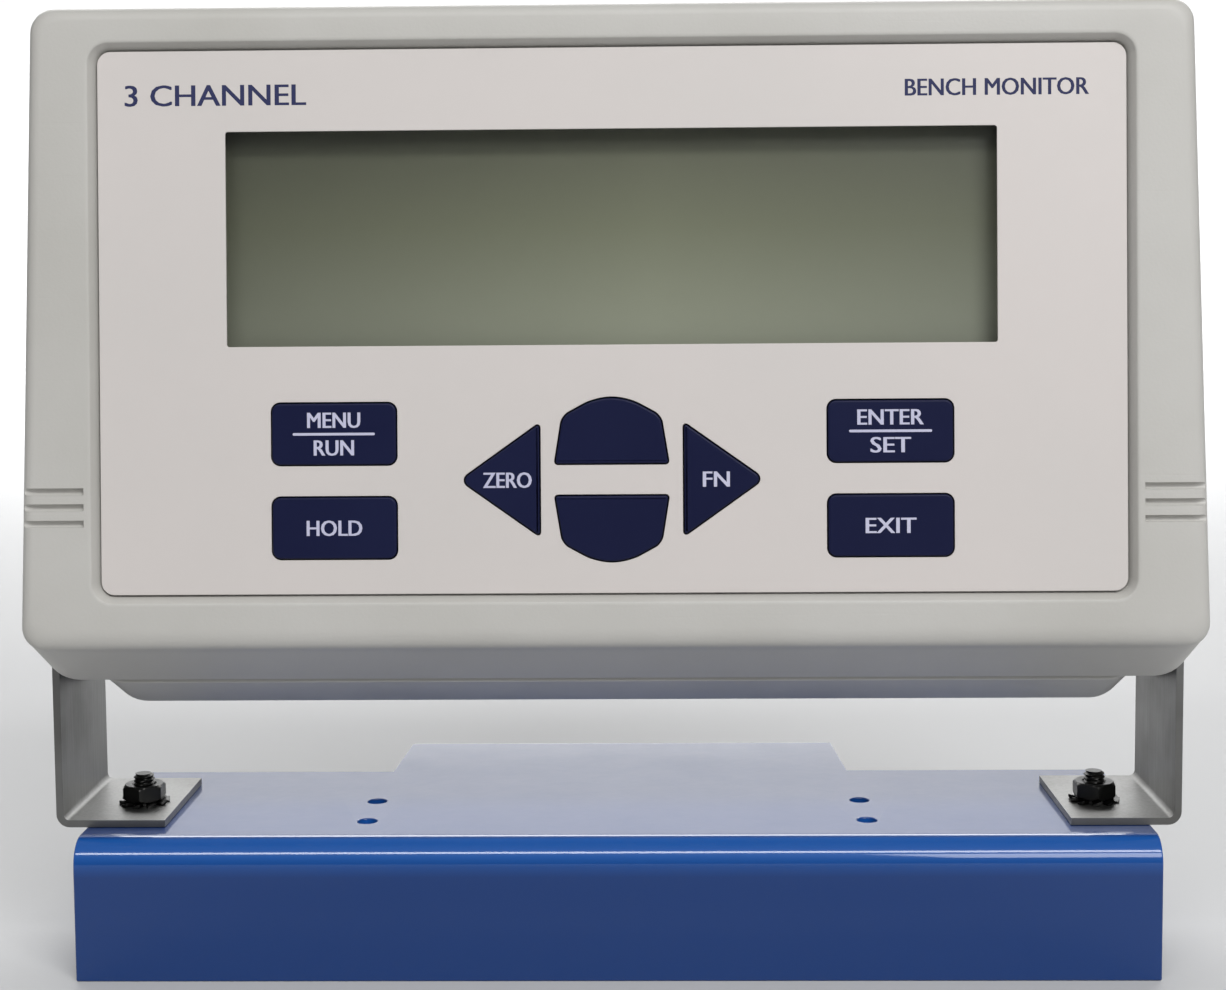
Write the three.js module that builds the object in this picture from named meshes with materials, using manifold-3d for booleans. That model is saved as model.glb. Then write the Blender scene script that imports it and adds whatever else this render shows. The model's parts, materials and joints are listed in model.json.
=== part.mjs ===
// Bench pressure monitor on a tilt stand: a keypad-and-display case hung between two sheet-metal straps
// that are bolted to a folded base plate. Millimetres, +X to the right, +Y to the back, +Z up.
import * as THREE from 'three';
import { mergeVertices } from 'three/addons/utils/BufferGeometryUtils.js';
import Module from 'manifold-3d';

const wasm = await Module();
wasm.setup();

// ---- Driving dimensions ----

const degree = Math.PI / 180;
const clearance = 0.3; // between pieces that touch in the real object
const slack = 0.1; // between stacked metal pieces
const frontToOrigin = 24.96; // from the straps' front edges back to the middle of the object's footprint

// Base plate: one folded sheet with a front flange, a top and a narrower tail that turns down at the back.
const base = {
  width: 191, height: 25.2, sheet: 2, bend: 4.8, flangeAhead: 9, shoulderDepth: 40.3,
  tailWidth: 90.4, tailEndWidth: 87.6, tailDepth: 67.6,
  accessoryHoleX: 45.3, accessoryHoleFront: 4.2, accessoryHoleRear: 17.8, accessoryHoleRadius: 1.75,
};

// Straps: one bent sheet on each side, an upright with a foot that turns inward.
const strap = { outerX: 100.8, sheet: 1.3, depth: 30, foot: 19.6, bend: 2.4, holeRadius: 2.8 };
const bolt = { x: 87.8, y: 12, shank: 2, hole: 2.25, head: 4.2, headHeight: 2.6, point: 0.5, endAbovePlate: 7 };
const nut = { acrossFlats: 7, height: 3 };
const lockWasher = { inner: 2.25, root: 3.4, tip: 4.6, teeth: 10, thickness: 0.5 };

// Tilt pivot, on the straps' middle line.
const pivot = { y: 15, z: 109, shank: 2.5, bore: 2.8, lean: 4 };
const knob = { radius: 8, grip: 3, bevel: 0.6, lobes: 12, lobeDepth: 0.8, washerRadius: 7, washer: 1 };
const insert = { radius: 4, length: 9 };

// Side spacer: its outline in y and z about the pivot, with the radius of each corner.
const spacerOutline = [[-13, -56], [8, -60.5], [14.5, -56], [14.5, 46], [8, 54], [-13, 56]];
const spacerCorners = [2, 4, 3, 3, 4, 2];

// Case, in its own upright frame: y counts back from the face, z counts up from the face's lower edge.
const face = {
  height: 108, bottomHalf: 101.1, topHalf: 98.6, topCorner: 4, bottomCorner: 3.5, round: 2.4,
};
const frontDepth = 13.2;
const skirtDrop = 8; // how far the sloping underside falls over the front shell's depth
const skirtCorner = 7;
const pivotInCase = { y: 29.5, z: 49 };
const hollow = { half: 88, lowZ: -1.5, highZ: 104, corner: 4 };
const rear = {
  start: 14.3, back: 46, half: 92.5, wall: 2.5, heelY: 30, heelRun: 3.5, heelZ: -14.3, footZ: -1,
  shoulderZ: 98, topRun: 8, topZ: 108.2, corner: 6,
};
const seal = { half: 88.5, lowZ: -5, highZ: 106, width: 1.7, corner: 5, slack: 0.15 };
const panel = { width: 174.2, height: 92.4, centreZ: 54.3, corner: 2.2, front: 1.6, thickness: 0.5 };
const recess = { margin: 0.35, floor: 2.4, bevelOut: 1.1, bevelBack: 2.1 };
const frontWallBack = 4.7;
const display = { width: 130.9, height: 36.7, centreZ: 68.5 };
const displayPane = { width: 133.3, height: 39.3, front: 2.4, back: 3.4 };
const displayFrame = { width: 152, height: 53, front: 5, back: 9.2, lip: 0.8 };
const displayGlass = { width: 141, height: 45, front: 6.1, back: 8.9 };
const displayBoard = { width: 158, height: 54, front: 9.5, back: 11.1 };
const groove = { z: [20.3, 23.1, 25.8], height: 1.2, depth: 1, inner: 89.7, outer: 100.2 };

// Keys: outlines in the face plane, about the panel's middle line.
const keyFront = 1.3;
const keyBack = 4.9;
const keyGap = 0.3;
const sideKey = { x: 47.2, width: 21.1, height: 10.4, upperZ: 35.3, lowerZ: 19.3, corner: 1.4 };
const arrowKey = {
  baseHalf: 9.6, shoulderHalf: 8.3, shoulder: 8, apexHalf: 3, apex: 11.5, gapHalf: 2.75, corner: 1,
};
const wedgeKey = { baseX: 12.3, apexX: 25.3, half: 9.3, corner: 1.1 };
const keypadZ = 27.3;
const domeSheet = { half: 60, lowZ: 11, highZ: 40, front: 5.6, back: 7.2 };

// Board, sounder and posts inside the case.
const mainBoard = { width: 150, height: 78, centreZ: 52, front: 28, thickness: 1.6 };
const sounder = { x: -50, z: 74, radius: 6, front: 24.4, back: 27.7 };
const boardPost = { x: 70, lowZ: 50, highZ: 86, radius: 2.6, front: 29.9 };

// Connectors on the back of the case, and how far forward their bodies reach inside it.
const connectorZ = 27;
const connectorFront = 36;
const socketFront = 34;
const rearPlate = { width: 140, height: 34, thickness: 1.2, gap: 0.2, corner: 2, ledge: 4 };
const socket = { body: 6.6, flange: 8.6, bore: 5, flangeBack: 3, depth: 7, pitch: 21, firstX: -55 };
const serial = {
  x: 14, flangeWidth: 31, flangeHeight: 12.6, flange: 0.8, shellWidth: 18, shellHeight: 9, shellOut: 5.5,
  slant: 1.6,
};
const terminal = { width: 21, height: 10, out: 7, ways: 4, screw: 1.7, x: 41 };
const jack = { width: 10, height: 11, out: 1.6, bore: 3.2, pin: 1, depth: 8, x: 60 };
const caseScrew = {
  x: 84, lowZ: 8, highZ: 98, front: 6.5, shank: 1.25, bore: 1.6, boss: 4.5,
  head: 2.8, headHeight: 1.8, headRoom: 0.5, sunk: 0.4,
};

// ---- Materials ----

function finish(color, roughness, metalness = 0) {
  return new THREE.MeshStandardMaterial({ color, roughness, metalness });
}

const caseGrey = finish(0xbebcb6, 0.55);
const panelGrey = finish(0xc8c3be, 0.5);
const keyNavy = finish(0x181a48, 0.45);
const baseBlue = finish(0x1e3c82, 0.3);
const bareSteel = finish(0x8c8f8e, 0.4, 0.8);
const darkSteel = finish(0x1a1c1c, 0.45, 0.7);
const blackPlastic = finish(0x101112, 0.6);
const blackRubber = finish(0x151515, 0.9);
const displayOlive = finish(0x6e7460, 0.2);
const clearPane = finish(0xdfe6e2, 0.05);
const boardGreen = finish(0x1d5a38, 0.6);
const brass = finish(0xb58a3c, 0.35, 0.9);
const nickel = finish(0xb4b6b8, 0.3, 0.9);

// ---- Helpers for shapes and solids ----

// A polygon whose corners are eased: each corner is cut back by its radius and closed with a curve.
function easedPolygon(points, radii, kind = THREE.Shape) {
  const outline = new kind();
  points.forEach(([x, y], index) => {
    const [px, py] = points[(index + points.length - 1) % points.length];
    const [nx, ny] = points[(index + 1) % points.length];
    const radius = Array.isArray(radii) ? radii[index] : radii;
    const before = Math.min(1, radius / Math.hypot(px - x, py - y));
    const after = Math.min(1, radius / Math.hypot(nx - x, ny - y));
    const start = [x + (px - x) * before, y + (py - y) * before];
    if (index === 0) outline.moveTo(...start);
    else outline.lineTo(...start);
    if (radius > 0) outline.quadraticCurveTo(x, y, x + (nx - x) * after, y + (ny - y) * after);
  });
  outline.closePath();
  return outline;
}

function easedSpan([lowX, lowZ], [highX, highZ], corner, kind = THREE.Shape) {
  return easedPolygon([[lowX, lowZ], [highX, lowZ], [highX, highZ], [lowX, highZ]], corner, kind);
}

function easedBox(width, height, corner, x = 0, z = 0) {
  return easedSpan([x - width / 2, z - height / 2], [x + width / 2, z + height / 2], corner);
}

function disc(radius, kind = THREE.Shape) {
  const outline = new kind();
  outline.absarc(0, 0, radius, 0, 2 * Math.PI);
  return outline;
}

function extruded(shape, depth, segments, bevel = {}) {
  const settings = { depth, steps: 1, curveSegments: segments, bevelEnabled: false, ...bevel };
  return new THREE.ExtrudeGeometry(shape, settings);
}

// An outline in x and z, carried back from yStart to yEnd.
function plate(shape, yStart, yEnd, segments = 4) {
  return extruded(shape, yEnd - yStart, segments).translate(0, 0, -yEnd).rotateX(Math.PI / 2);
}

// The same with a bevel at both ends. The bevel keeps inside the outline, or grows out of it.
function bevelledPlate(shape, yStart, yEnd, size, thickness, steps, inside) {
  const bevel = {
    bevelEnabled: true, bevelSize: size, bevelThickness: thickness, bevelSegments: steps,
    bevelOffset: inside ? -size : 0,
  };
  const straight = yEnd - yStart - 2 * thickness;
  return extruded(shape, straight, 4, bevel).translate(0, 0, thickness - yEnd).rotateX(Math.PI / 2);
}

// An outline in y and z, carried sideways from xStart to xEnd.
const sideways = new THREE.Matrix4().set(0, 0, 1, 0, 1, 0, 0, 0, 0, 1, 0, 0, 0, 0, 0, 1);
function slab(shape, xStart, xEnd, segments = 6) {
  return extruded(shape, xEnd - xStart, segments).translate(0, 0, xStart).applyMatrix4(sideways);
}

// A box between two opposite corners, given in any order.
function box(corner, opposite) {
  const size = opposite.map((value, axis) => Math.abs(value - corner[axis]));
  const middle = opposite.map((value, axis) => (value + corner[axis]) / 2);
  return new THREE.BoxGeometry(...size).translate(...middle);
}

function centredBox(width, height, centreZ, yStart, yEnd) {
  return box([-width / 2, yStart, centreZ - height / 2], [width / 2, yEnd, centreZ + height / 2]);
}

const alongX = (geometry) => geometry.rotateY(Math.PI / 2);

// A round cutter along z, and a round bar along y.
function through(radius, length = 12) {
  return new THREE.CylinderGeometry(radius, radius, length, 16).rotateX(Math.PI / 2);
}

function boss(radius, yStart, yEnd, facets = 14) {
  const length = yEnd - yStart;
  return new THREE.CylinderGeometry(radius, radius, length, facets).translate(0, (yStart + yEnd) / 2, 0);
}

// A turned piece: pairs of radius and height, spun about the Z axis.
function turned(profile, sides = 16) {
  const points = profile.map(([radius, height]) => new THREE.Vector2(radius, height));
  return new THREE.LatheGeometry(points, sides).rotateX(Math.PI / 2);
}

function solid(geometry) {
  geometry.deleteAttribute('normal');
  geometry.deleteAttribute('uv');
  const merged = mergeVertices(geometry, 1e-4);
  return new wasm.Manifold(new wasm.Mesh({
    numProp: 3,
    vertProperties: new Float32Array(merged.attributes.position.array),
    triVerts: new Uint32Array(merged.index.array),
  }));
}

function geometryOf(manifold) {
  const { vertProperties, triVerts } = manifold.getMesh();
  const geometry = new THREE.BufferGeometry();
  geometry.setAttribute('position', new THREE.BufferAttribute(new Float32Array(vertProperties), 3));
  geometry.setIndex(new THREE.BufferAttribute(new Uint32Array(triVerts), 1));
  return geometry;
}

const without = (body, cutters) => cutters.reduce((left, cutter) => left.subtract(solid(cutter)), body);

function place(group, name, body, material) {
  const geometry = body.isBufferGeometry ? body : geometryOf(body);
  const mesh = new THREE.Mesh(geometry, material);
  mesh.name = name;
  group.add(mesh);
  return mesh;
}

const sides = [['left', -1], ['right', 1]];

// ---- Groups: the stand, and the case that hangs on its pivot and leans back ----

const monitor = new THREE.Group();
const stand = new THREE.Group();
stand.position.y = -frontToOrigin;
monitor.add(stand);

const tilting = new THREE.Group();
tilting.position.set(0, pivot.y, pivot.z);
tilting.rotation.x = -pivot.lean * degree;
stand.add(tilting);

const housing = new THREE.Group();
housing.position.set(0, -pivotInCase.y, -pivotInCase.z);
tilting.add(housing);

// ---- Base plate ----

function basePlate() {
  const front = -base.flangeAhead;
  const back = base.tailDepth;
  const top = base.height;
  const { sheet, bend } = base;
  const inner = bend - sheet;
  const fold = new THREE.Shape();
  fold.moveTo(front, 0);
  fold.lineTo(front, top - bend);
  fold.absarc(front + bend, top - bend, bend, Math.PI, Math.PI / 2, true);
  fold.lineTo(back - bend, top);
  fold.absarc(back - bend, top - bend, bend, Math.PI / 2, 0, true);
  fold.lineTo(back, 0);
  fold.lineTo(back - sheet, 0);
  fold.lineTo(back - sheet, top - bend);
  fold.absarc(back - bend, top - bend, inner, 0, Math.PI / 2, false);
  fold.lineTo(front + bend, top - sheet);
  fold.absarc(front + bend, top - bend, inner, Math.PI / 2, Math.PI, false);
  fold.lineTo(front + sheet, 0);
  fold.closePath();
  const half = base.width / 2;
  const notch = easedPolygon([
    [base.tailWidth / 2, base.shoulderDepth], [half + 5, base.shoulderDepth],
    [half + 5, back + 5], [base.tailEndWidth / 2, back + 5],
  ], 0);
  const rightNotch = extruded(notch, top + 2, 1).translate(0, 0, -1);
  const leftNotch = rightNotch.clone().rotateY(Math.PI).translate(0, 0, top);
  const holes = [];
  for (const [, side] of sides) {
    for (const y of [base.accessoryHoleFront, base.accessoryHoleRear]) {
      holes.push(through(base.accessoryHoleRadius).translate(side * base.accessoryHoleX, y, top));
    }
    holes.push(through(bolt.hole).translate(side * bolt.x, bolt.y, top));
  }
  return without(solid(slab(fold, -half, half, 5)), [rightNotch, leftNotch, ...holes]);
}

place(stand, 'base_plate', basePlate(), baseBlue);

// ---- Straps with their feet, and the bolts that hold them ----

const footBottom = base.height + slack;
const footTop = footBottom + strap.sheet;

function strapBody(side) {
  const { outerX, sheet, bend } = strap;
  const top = pivot.z + strap.depth / 2;
  const angle = new THREE.Shape();
  angle.moveTo(outerX - strap.foot, footBottom);
  angle.lineTo(outerX - bend, footBottom);
  angle.absarc(outerX - bend, footBottom + bend, bend, -Math.PI / 2, 0, false);
  angle.lineTo(outerX, top);
  angle.lineTo(outerX - sheet, top);
  angle.lineTo(outerX - sheet, footBottom + bend);
  angle.absarc(outerX - bend, footBottom + bend, bend - sheet, 0, -Math.PI / 2, true);
  angle.lineTo(outerX - strap.foot, footTop);
  angle.closePath();
  const upright = new THREE.Shape();
  upright.moveTo(0, 0);
  upright.lineTo(strap.depth, 0);
  upright.lineTo(strap.depth, pivot.z);
  upright.absarc(pivot.y, pivot.z, strap.depth / 2, 0, Math.PI, false);
  upright.closePath();
  const bar = solid(plate(angle, 0, strap.depth)).intersect(solid(slab(upright, 0, outerX + 5, 9)));
  const pivotHole = through(strap.holeRadius).rotateY(Math.PI / 2).translate(outerX, pivot.y, pivot.z);
  const boltHole = through(bolt.hole).translate(bolt.x, bolt.y, footTop);
  const right = without(bar, [pivotHole, boltHole]);
  return side > 0 ? right : right.mirror([1, 0, 0]);
}

function starWasher() {
  const { teeth, root, tip } = lockWasher;
  const outline = [];
  for (let tooth = 0; tooth < teeth; tooth += 1) {
    for (const [share, radius] of [[0, root], [0.2, tip], [0.5, tip], [0.7, root]]) {
      const angle = ((tooth + share) / teeth) * 2 * Math.PI;
      outline.push([radius * Math.cos(angle), radius * Math.sin(angle)]);
    }
  }
  const star = easedPolygon(outline, 0);
  star.holes.push(disc(lockWasher.inner, THREE.Path));
  return extruded(star, lockWasher.thickness, 8);
}

function hexNut() {
  const corner = nut.acrossFlats / Math.sqrt(3);
  const outline = [0, 1, 2, 3, 4, 5].map((step) => {
    const angle = step * 60 * degree;
    return [corner * Math.cos(angle), corner * Math.sin(angle)];
  });
  const hexagon = easedPolygon(outline, 0);
  hexagon.holes.push(disc(bolt.hole, THREE.Path));
  return extruded(hexagon, nut.height, 8);
}

function footBolt() {
  const under = base.height - base.sheet - slack;
  const end = base.height + bolt.endAbovePlate;
  return turned([
    [0, under - bolt.headHeight], [bolt.head * 0.75, under - bolt.headHeight],
    [bolt.head, under - bolt.headHeight * 0.55], [bolt.head, under],
    [bolt.shank, under], [bolt.shank, end - bolt.point], [bolt.shank - bolt.point, end], [0, end],
  ], 14);
}

for (const [label, side] of sides) {
  place(stand, `strap_${label}`, strapBody(side), bareSteel);
  const x = side * bolt.x;
  place(stand, `foot_bolt_${label}`, footBolt(), darkSteel).position.set(x, bolt.y, 0);
  const washerZ = footTop + slack;
  place(stand, `lock_washer_${label}`, starWasher(), darkSteel).position.set(x, bolt.y, washerZ);
  const nutZ = washerZ + lockWasher.thickness + slack;
  place(stand, `foot_nut_${label}`, hexNut(), darkSteel).position.set(x, bolt.y, nutZ);
}

// ---- Front shell ----

const screwPlaces = [
  [-caseScrew.x, caseScrew.lowZ], [caseScrew.x, caseScrew.lowZ],
  [-caseScrew.x, caseScrew.highZ], [caseScrew.x, caseScrew.highZ],
];

// The skirt's sloping underside: how far below the face's lower edge it is at a depth y.
const undersideAt = (y) => -skirtDrop * (y / frontDepth);

function frontShellOutside() {
  const { height, bottomHalf, topHalf, round } = face;
  const outline = easedPolygon(
    [[-bottomHalf, 0], [bottomHalf, 0], [topHalf, height], [-topHalf, height]],
    [face.bottomCorner, face.bottomCorner, face.topCorner, face.topCorner],
  );
  const body = solid(bevelledPlate(outline, 0, frontDepth + round, round, round, 3, true));
  const wedge = new THREE.Shape();
  wedge.moveTo(round * 0.6, 2);
  wedge.quadraticCurveTo(round * 0.9, undersideAt(round * 0.4), round * 1.7, undersideAt(round * 1.7));
  wedge.lineTo(frontDepth + 1, undersideAt(frontDepth + 1));
  wedge.lineTo(frontDepth + 1, 12);
  wedge.lineTo(round * 0.6, 12);
  wedge.closePath();
  const low = undersideAt(frontDepth + 1);
  const skirt = easedPolygon(
    [[-bottomHalf, low], [bottomHalf, low], [bottomHalf - 0.3, 12], [0.3 - bottomHalf, 12]],
    [skirtCorner, skirtCorner, 0, 0],
  );
  const skirtBlock = solid(plate(skirt, 0, frontDepth + 1, 6));
  const underside = solid(slab(wedge, -bottomHalf, bottomHalf)).intersect(skirtBlock);
  const reach = 120;
  return body.add(underside).intersect(solid(box([-reach, -1, -reach], [reach, frontDepth, reach])));
}

function frontShell() {
  const cavity = easedSpan([-hollow.half, hollow.lowZ], [hollow.half, hollow.highZ], hollow.corner);
  const panelWidth = panel.width + 2 * recess.margin;
  const panelHeight = panel.height + 2 * recess.margin;
  const panelCut = easedBox(panelWidth, panelHeight, panel.corner, 0, panel.centreZ);
  const windowWidth = displayPane.width + 2 * recess.margin;
  const windowHeight = displayPane.height + 2 * recess.margin;
  const windowCut = easedBox(windowWidth, windowHeight, 1, 0, display.centreZ);
  const grooves = sides.flatMap(([, side]) => groove.z.map((z) => {
    const low = z - groove.height / 2;
    return box([side * groove.inner, -1, low], [side * groove.outer, groove.depth, low + groove.height]);
  }));
  const post = without(
    solid(boss(caseScrew.boss, frontWallBack - 0.5, frontDepth)),
    [boss(caseScrew.bore, frontWallBack + 1, frontDepth + 1)],
  );
  const posts = screwPlaces.map(([x, z]) => post.translate([x, 0, z]));
  const keyholes = keys.map((key) => plate(key.outline(keyGap + 0.05), 0, frontWallBack + 1, 3));
  const shell = without(frontShellOutside(), [
    plate(cavity, frontWallBack, frontDepth + 5),
    bevelledPlate(panelCut, recess.floor - 12, recess.floor, recess.bevelOut, recess.bevelBack, 1, false),
    plate(windowCut, 0, frontWallBack + 1),
    ...grooves,
    ...keyholes,
  ]);
  return posts.reduce((whole, piece) => whole.add(piece), shell);
}

// ---- Keys ----

// Each outline can be grown by a margin, for the opening that the key moves in.
function sideKeyOutline(x, z) {
  return (grow = 0) => easedBox(sideKey.width + 2 * grow, sideKey.height + 2 * grow, sideKey.corner, x, z);
}

function arrowKeyOutline(direction) {
  return (grow = 0) => {
    const { baseHalf, shoulderHalf, shoulder, apexHalf, apex, gapHalf, corner } = arrowKey;
    const level = (height) => keypadZ + direction * (gapHalf + height);
    const tip = apexHalf + grow * 0.3;
    const shoulderZ = level(shoulder + grow * 0.6);
    const points = [
      [-baseHalf - grow, level(-grow)], [baseHalf + grow, level(-grow)], [shoulderHalf + grow, shoulderZ],
      [tip, level(apex + grow)], [-tip, level(apex + grow)], [-shoulderHalf - grow, shoulderZ],
    ];
    return easedPolygon(direction > 0 ? points : points.reverse(), corner);
  };
}

function wedgeKeyOutline(direction) {
  return (grow = 0) => {
    const { baseX, apexX, half, corner } = wedgeKey;
    const baseEdge = direction * (baseX - grow);
    const points = [
      [baseEdge, keypadZ - half - grow * 2], [direction * (apexX + grow * 2), keypadZ],
      [baseEdge, keypadZ + half + grow * 2],
    ];
    return easedPolygon(direction > 0 ? points : points.reverse(), corner);
  };
}

const keys = [
  { name: 'key_menu', outline: sideKeyOutline(-sideKey.x, sideKey.upperZ) },
  { name: 'key_hold', outline: sideKeyOutline(-sideKey.x, sideKey.lowerZ) },
  { name: 'key_enter', outline: sideKeyOutline(sideKey.x, sideKey.upperZ) },
  { name: 'key_exit', outline: sideKeyOutline(sideKey.x, sideKey.lowerZ) },
  { name: 'key_up', outline: arrowKeyOutline(1) },
  { name: 'key_down', outline: arrowKeyOutline(-1) },
  { name: 'key_zero', outline: wedgeKeyOutline(-1) },
  { name: 'key_shift', outline: wedgeKeyOutline(1) },
];

for (const key of keys) {
  place(housing, key.name, plate(key.outline(), keyFront, keyBack, 3), keyNavy);
}

place(housing, 'front_shell', frontShell(), caseGrey);

function frontPanel() {
  const sheet = easedBox(panel.width, panel.height, panel.corner, 0, panel.centreZ);
  const back = panel.front + panel.thickness;
  const window = plate(easedBox(display.width, display.height, 0.6, 0, display.centreZ), 0, back + 1, 2);
  const openings = keys.map((key) => plate(key.outline(keyGap), 0, back + 1, 3));
  return without(solid(plate(sheet, panel.front, back)), [window, ...openings]);
}

place(housing, 'front_panel', frontPanel(), panelGrey);
const domeFront = [-domeSheet.half, domeSheet.front, domeSheet.lowZ];
const domeBack = [domeSheet.half, domeSheet.back, domeSheet.highZ];
place(housing, 'key_dome_sheet', box(domeFront, domeBack), blackRubber);

// ---- Display: clear pane, metal frame, glass and board ----

function displayLayer({ width, height, front, back }) {
  return centredBox(width, height, display.centreZ, front, back);
}

// The frame's lip is open to the glass, and the glass sits in a pocket behind the lip.
function displayFrameBody() {
  const { front, back, lip } = displayFrame;
  const window = { width: display.width + 2 * lip, height: display.height + 2 * lip, front: front - 1, back };
  const pocket = {
    width: displayGlass.width + 1, height: displayGlass.height + 1, front: front + lip, back: back + 1,
  };
  return without(solid(displayLayer(displayFrame)), [displayLayer(window), displayLayer(pocket)]);
}

place(housing, 'display_pane', displayLayer(displayPane), clearPane);
place(housing, 'display_frame', displayFrameBody(), blackPlastic);
place(housing, 'display_glass', displayLayer(displayGlass), displayOlive);
place(housing, 'display_board', displayLayer(displayBoard), boardGreen);

// ---- Rear shell, seal and case screws ----

// The rear shell's side outline, drawn inward by its wall for the hollow.
function rearOutline(inset) {
  const { start, heelY, topZ } = rear;
  const front = inset ? start - 5 : start;
  const back = rear.back - inset;
  const heelZ = rear.heelZ + inset * 1.1;
  return easedPolygon([
    [front, undersideAt(start) + inset], [heelY, heelZ], [heelY + rear.heelRun, heelZ],
    [back, rear.footZ + inset * 0.5], [back, rear.shoulderZ - inset * 0.4],
    [rear.back - rear.topRun - inset * 0.3, topZ - inset], [front, topZ - inset],
  ], [0, 1.5, 1.5, 4, 4, 5, 0]);
}

function rearFrontOutline(inset) {
  const half = rear.half - inset;
  return easedSpan([-half, rear.heelZ + inset - 1], [half, rear.topZ + 1 - inset], rear.corner);
}

const socketPlaces = [0, 1, 2].map((index) => socket.firstX + index * socket.pitch);

// The rear shell's side outline carried across the case, cut to its outline from the front.
function rearBody(inset) {
  const reach = rear.half + 5;
  const fromTheSide = solid(slab(rearOutline(inset), -reach, reach, 4));
  return fromTheSide.intersect(solid(plate(rearFrontOutline(inset), -10, rear.back + 10)));
}

function rearShell() {
  const post = solid(boss(caseScrew.boss, rear.start, rear.back - 1));
  const walls = rearBody(0).subtract(rearBody(rear.wall));
  const hull = screwPlaces.reduce((whole, [x, z]) => whole.add(post.translate([x, 0, z])), walls);
  const headFront = rear.back - caseScrew.sunk - caseScrew.headHeight - 0.2;
  const bores = screwPlaces.flatMap(([x, z]) => [
    boss(caseScrew.bore, rear.start - 1, rear.back + 1).translate(x, 0, z),
    boss(caseScrew.head + caseScrew.headRoom, headFront, rear.back + 1).translate(x, 0, z),
  ]);
  const insertHoles = sides.map(([, side]) => {
    const hole = alongX(through(insert.radius + clearance, 14));
    return hole.translate(side * rear.half, pivotInCase.y, pivotInCase.z);
  });
  const slotWidth = rearPlate.width - 2 * rearPlate.ledge;
  const slotHeight = rearPlate.height - 2 * rearPlate.ledge;
  const connectorSlot = centredBox(slotWidth, slotHeight, connectorZ, rear.back - 5, rear.back + 5);
  return without(hull, [...bores, ...insertHoles, connectorSlot]);
}

place(housing, 'rear_shell', rearShell(), caseGrey);

function sealRing() {
  const { half, lowZ, highZ, width, corner } = seal;
  const outline = easedSpan([-half, lowZ], [half, highZ], corner);
  const inside = [half - width, highZ - width];
  outline.holes.push(easedSpan([width - half, lowZ + width], inside, corner - 1, THREE.Path));
  const relief = screwPlaces.map(([x, z]) => (
    boss(caseScrew.bore + 0.4, frontDepth - 1, rear.start + 1).translate(x, 0, z)
  ));
  return without(solid(plate(outline, frontDepth + seal.slack, rear.start - seal.slack)), relief);
}

place(housing, 'case_seal', sealRing(), blackRubber);

function caseScrewBody() {
  const { head, headHeight, shank, front } = caseScrew;
  const headBack = rear.back - caseScrew.sunk;
  const headFront = headBack - headHeight;
  return turned([
    [0, -headBack], [head, -headBack], [head, -headFront],
    [shank, -headFront], [shank, -front - 1], [0, -front],
  ], 12).rotateX(Math.PI / 2);
}

screwPlaces.forEach(([x, z], index) => {
  const corner = ['lower_left', 'lower_right', 'upper_left', 'upper_right'][index];
  place(housing, `case_screw_${corner}`, caseScrewBody(), darkSteel).position.set(x, 0, z);
});

// ---- Boards inside the case ----

function mainBoardBody() {
  const { width, height, centreZ, front, thickness } = mainBoard;
  return centredBox(width, height, centreZ, front, front + thickness);
}

function sounderBody() {
  return boss(sounder.radius, sounder.front, sounder.back, 20).translate(sounder.x, 0, sounder.z);
}

place(housing, 'main_board', mainBoardBody(), boardGreen);
place(housing, 'sounder', sounderBody(), blackPlastic);
for (const [label, side] of sides) {
  for (const [level, z] of [['lower', boardPost.lowZ], ['upper', boardPost.highZ]]) {
    const post = boss(boardPost.radius, boardPost.front, rear.back - rear.wall - 0.2, 12);
    place(housing, `board_post_${level}_${label}`, post.translate(side * boardPost.x, 0, z), nickel);
  }
}

// ---- Connectors ----

const plateFront = rear.back + rearPlate.gap;
const plateBack = plateFront + rearPlate.thickness;
const flangeFront = plateBack + rearPlate.gap;

function connectorPlate() {
  const sheet = easedBox(rearPlate.width, rearPlate.height, rearPlate.corner, 0, connectorZ);
  const [front, back] = [plateFront - 1, plateBack + 1];
  const cut = (width, height, x) => {
    const opening = centredBox(width + 2 * clearance, height + 2 * clearance, connectorZ, front, back);
    return opening.translate(x, 0, 0);
  };
  const round = boss(socket.body + clearance, front, back, 18).translate(0, 0, connectorZ);
  return without(solid(plate(sheet, plateFront, plateBack)), [
    ...socketPlaces.map((x) => round.clone().translate(x, 0, 0)),
    cut(serial.shellWidth, serial.shellHeight, serial.x),
    cut(terminal.width, terminal.height, terminal.x),
    cut(jack.width, jack.height, jack.x),
  ]);
}

place(housing, 'connector_plate', connectorPlate(), blackPlastic);

// A round panel socket: a flange outside the plate, a body through it, and a bore that is open at the back.
function sensorSocket() {
  const { bore, flange, body } = socket;
  const end = flangeFront + socket.flangeBack;
  const chamfer = 0.6;
  return turned([
    [0, -end + socket.depth], [bore, -end + socket.depth], [bore, -end],
    [flange - chamfer, -end], [flange, -end + chamfer], [flange, -flangeFront],
    [body, -flangeFront], [body, -socketFront], [0, -socketFront],
  ], 18).rotateX(Math.PI / 2);
}

socketPlaces.forEach((x, index) => {
  place(housing, `sensor_socket_${index + 1}`, sensorSocket(), nickel).position.set(x, 0, connectorZ);
});

// The serial port's D-shaped outline, drawn inward by an inset.
function deeOutline(inset) {
  const w = serial.shellWidth / 2 - inset;
  const h = serial.shellHeight / 2 - inset;
  const [low, high] = [connectorZ - h, connectorZ + h];
  return easedPolygon([[serial.slant - w, low], [w - serial.slant, low], [w, high], [-w, high]], 1.5);
}

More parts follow.
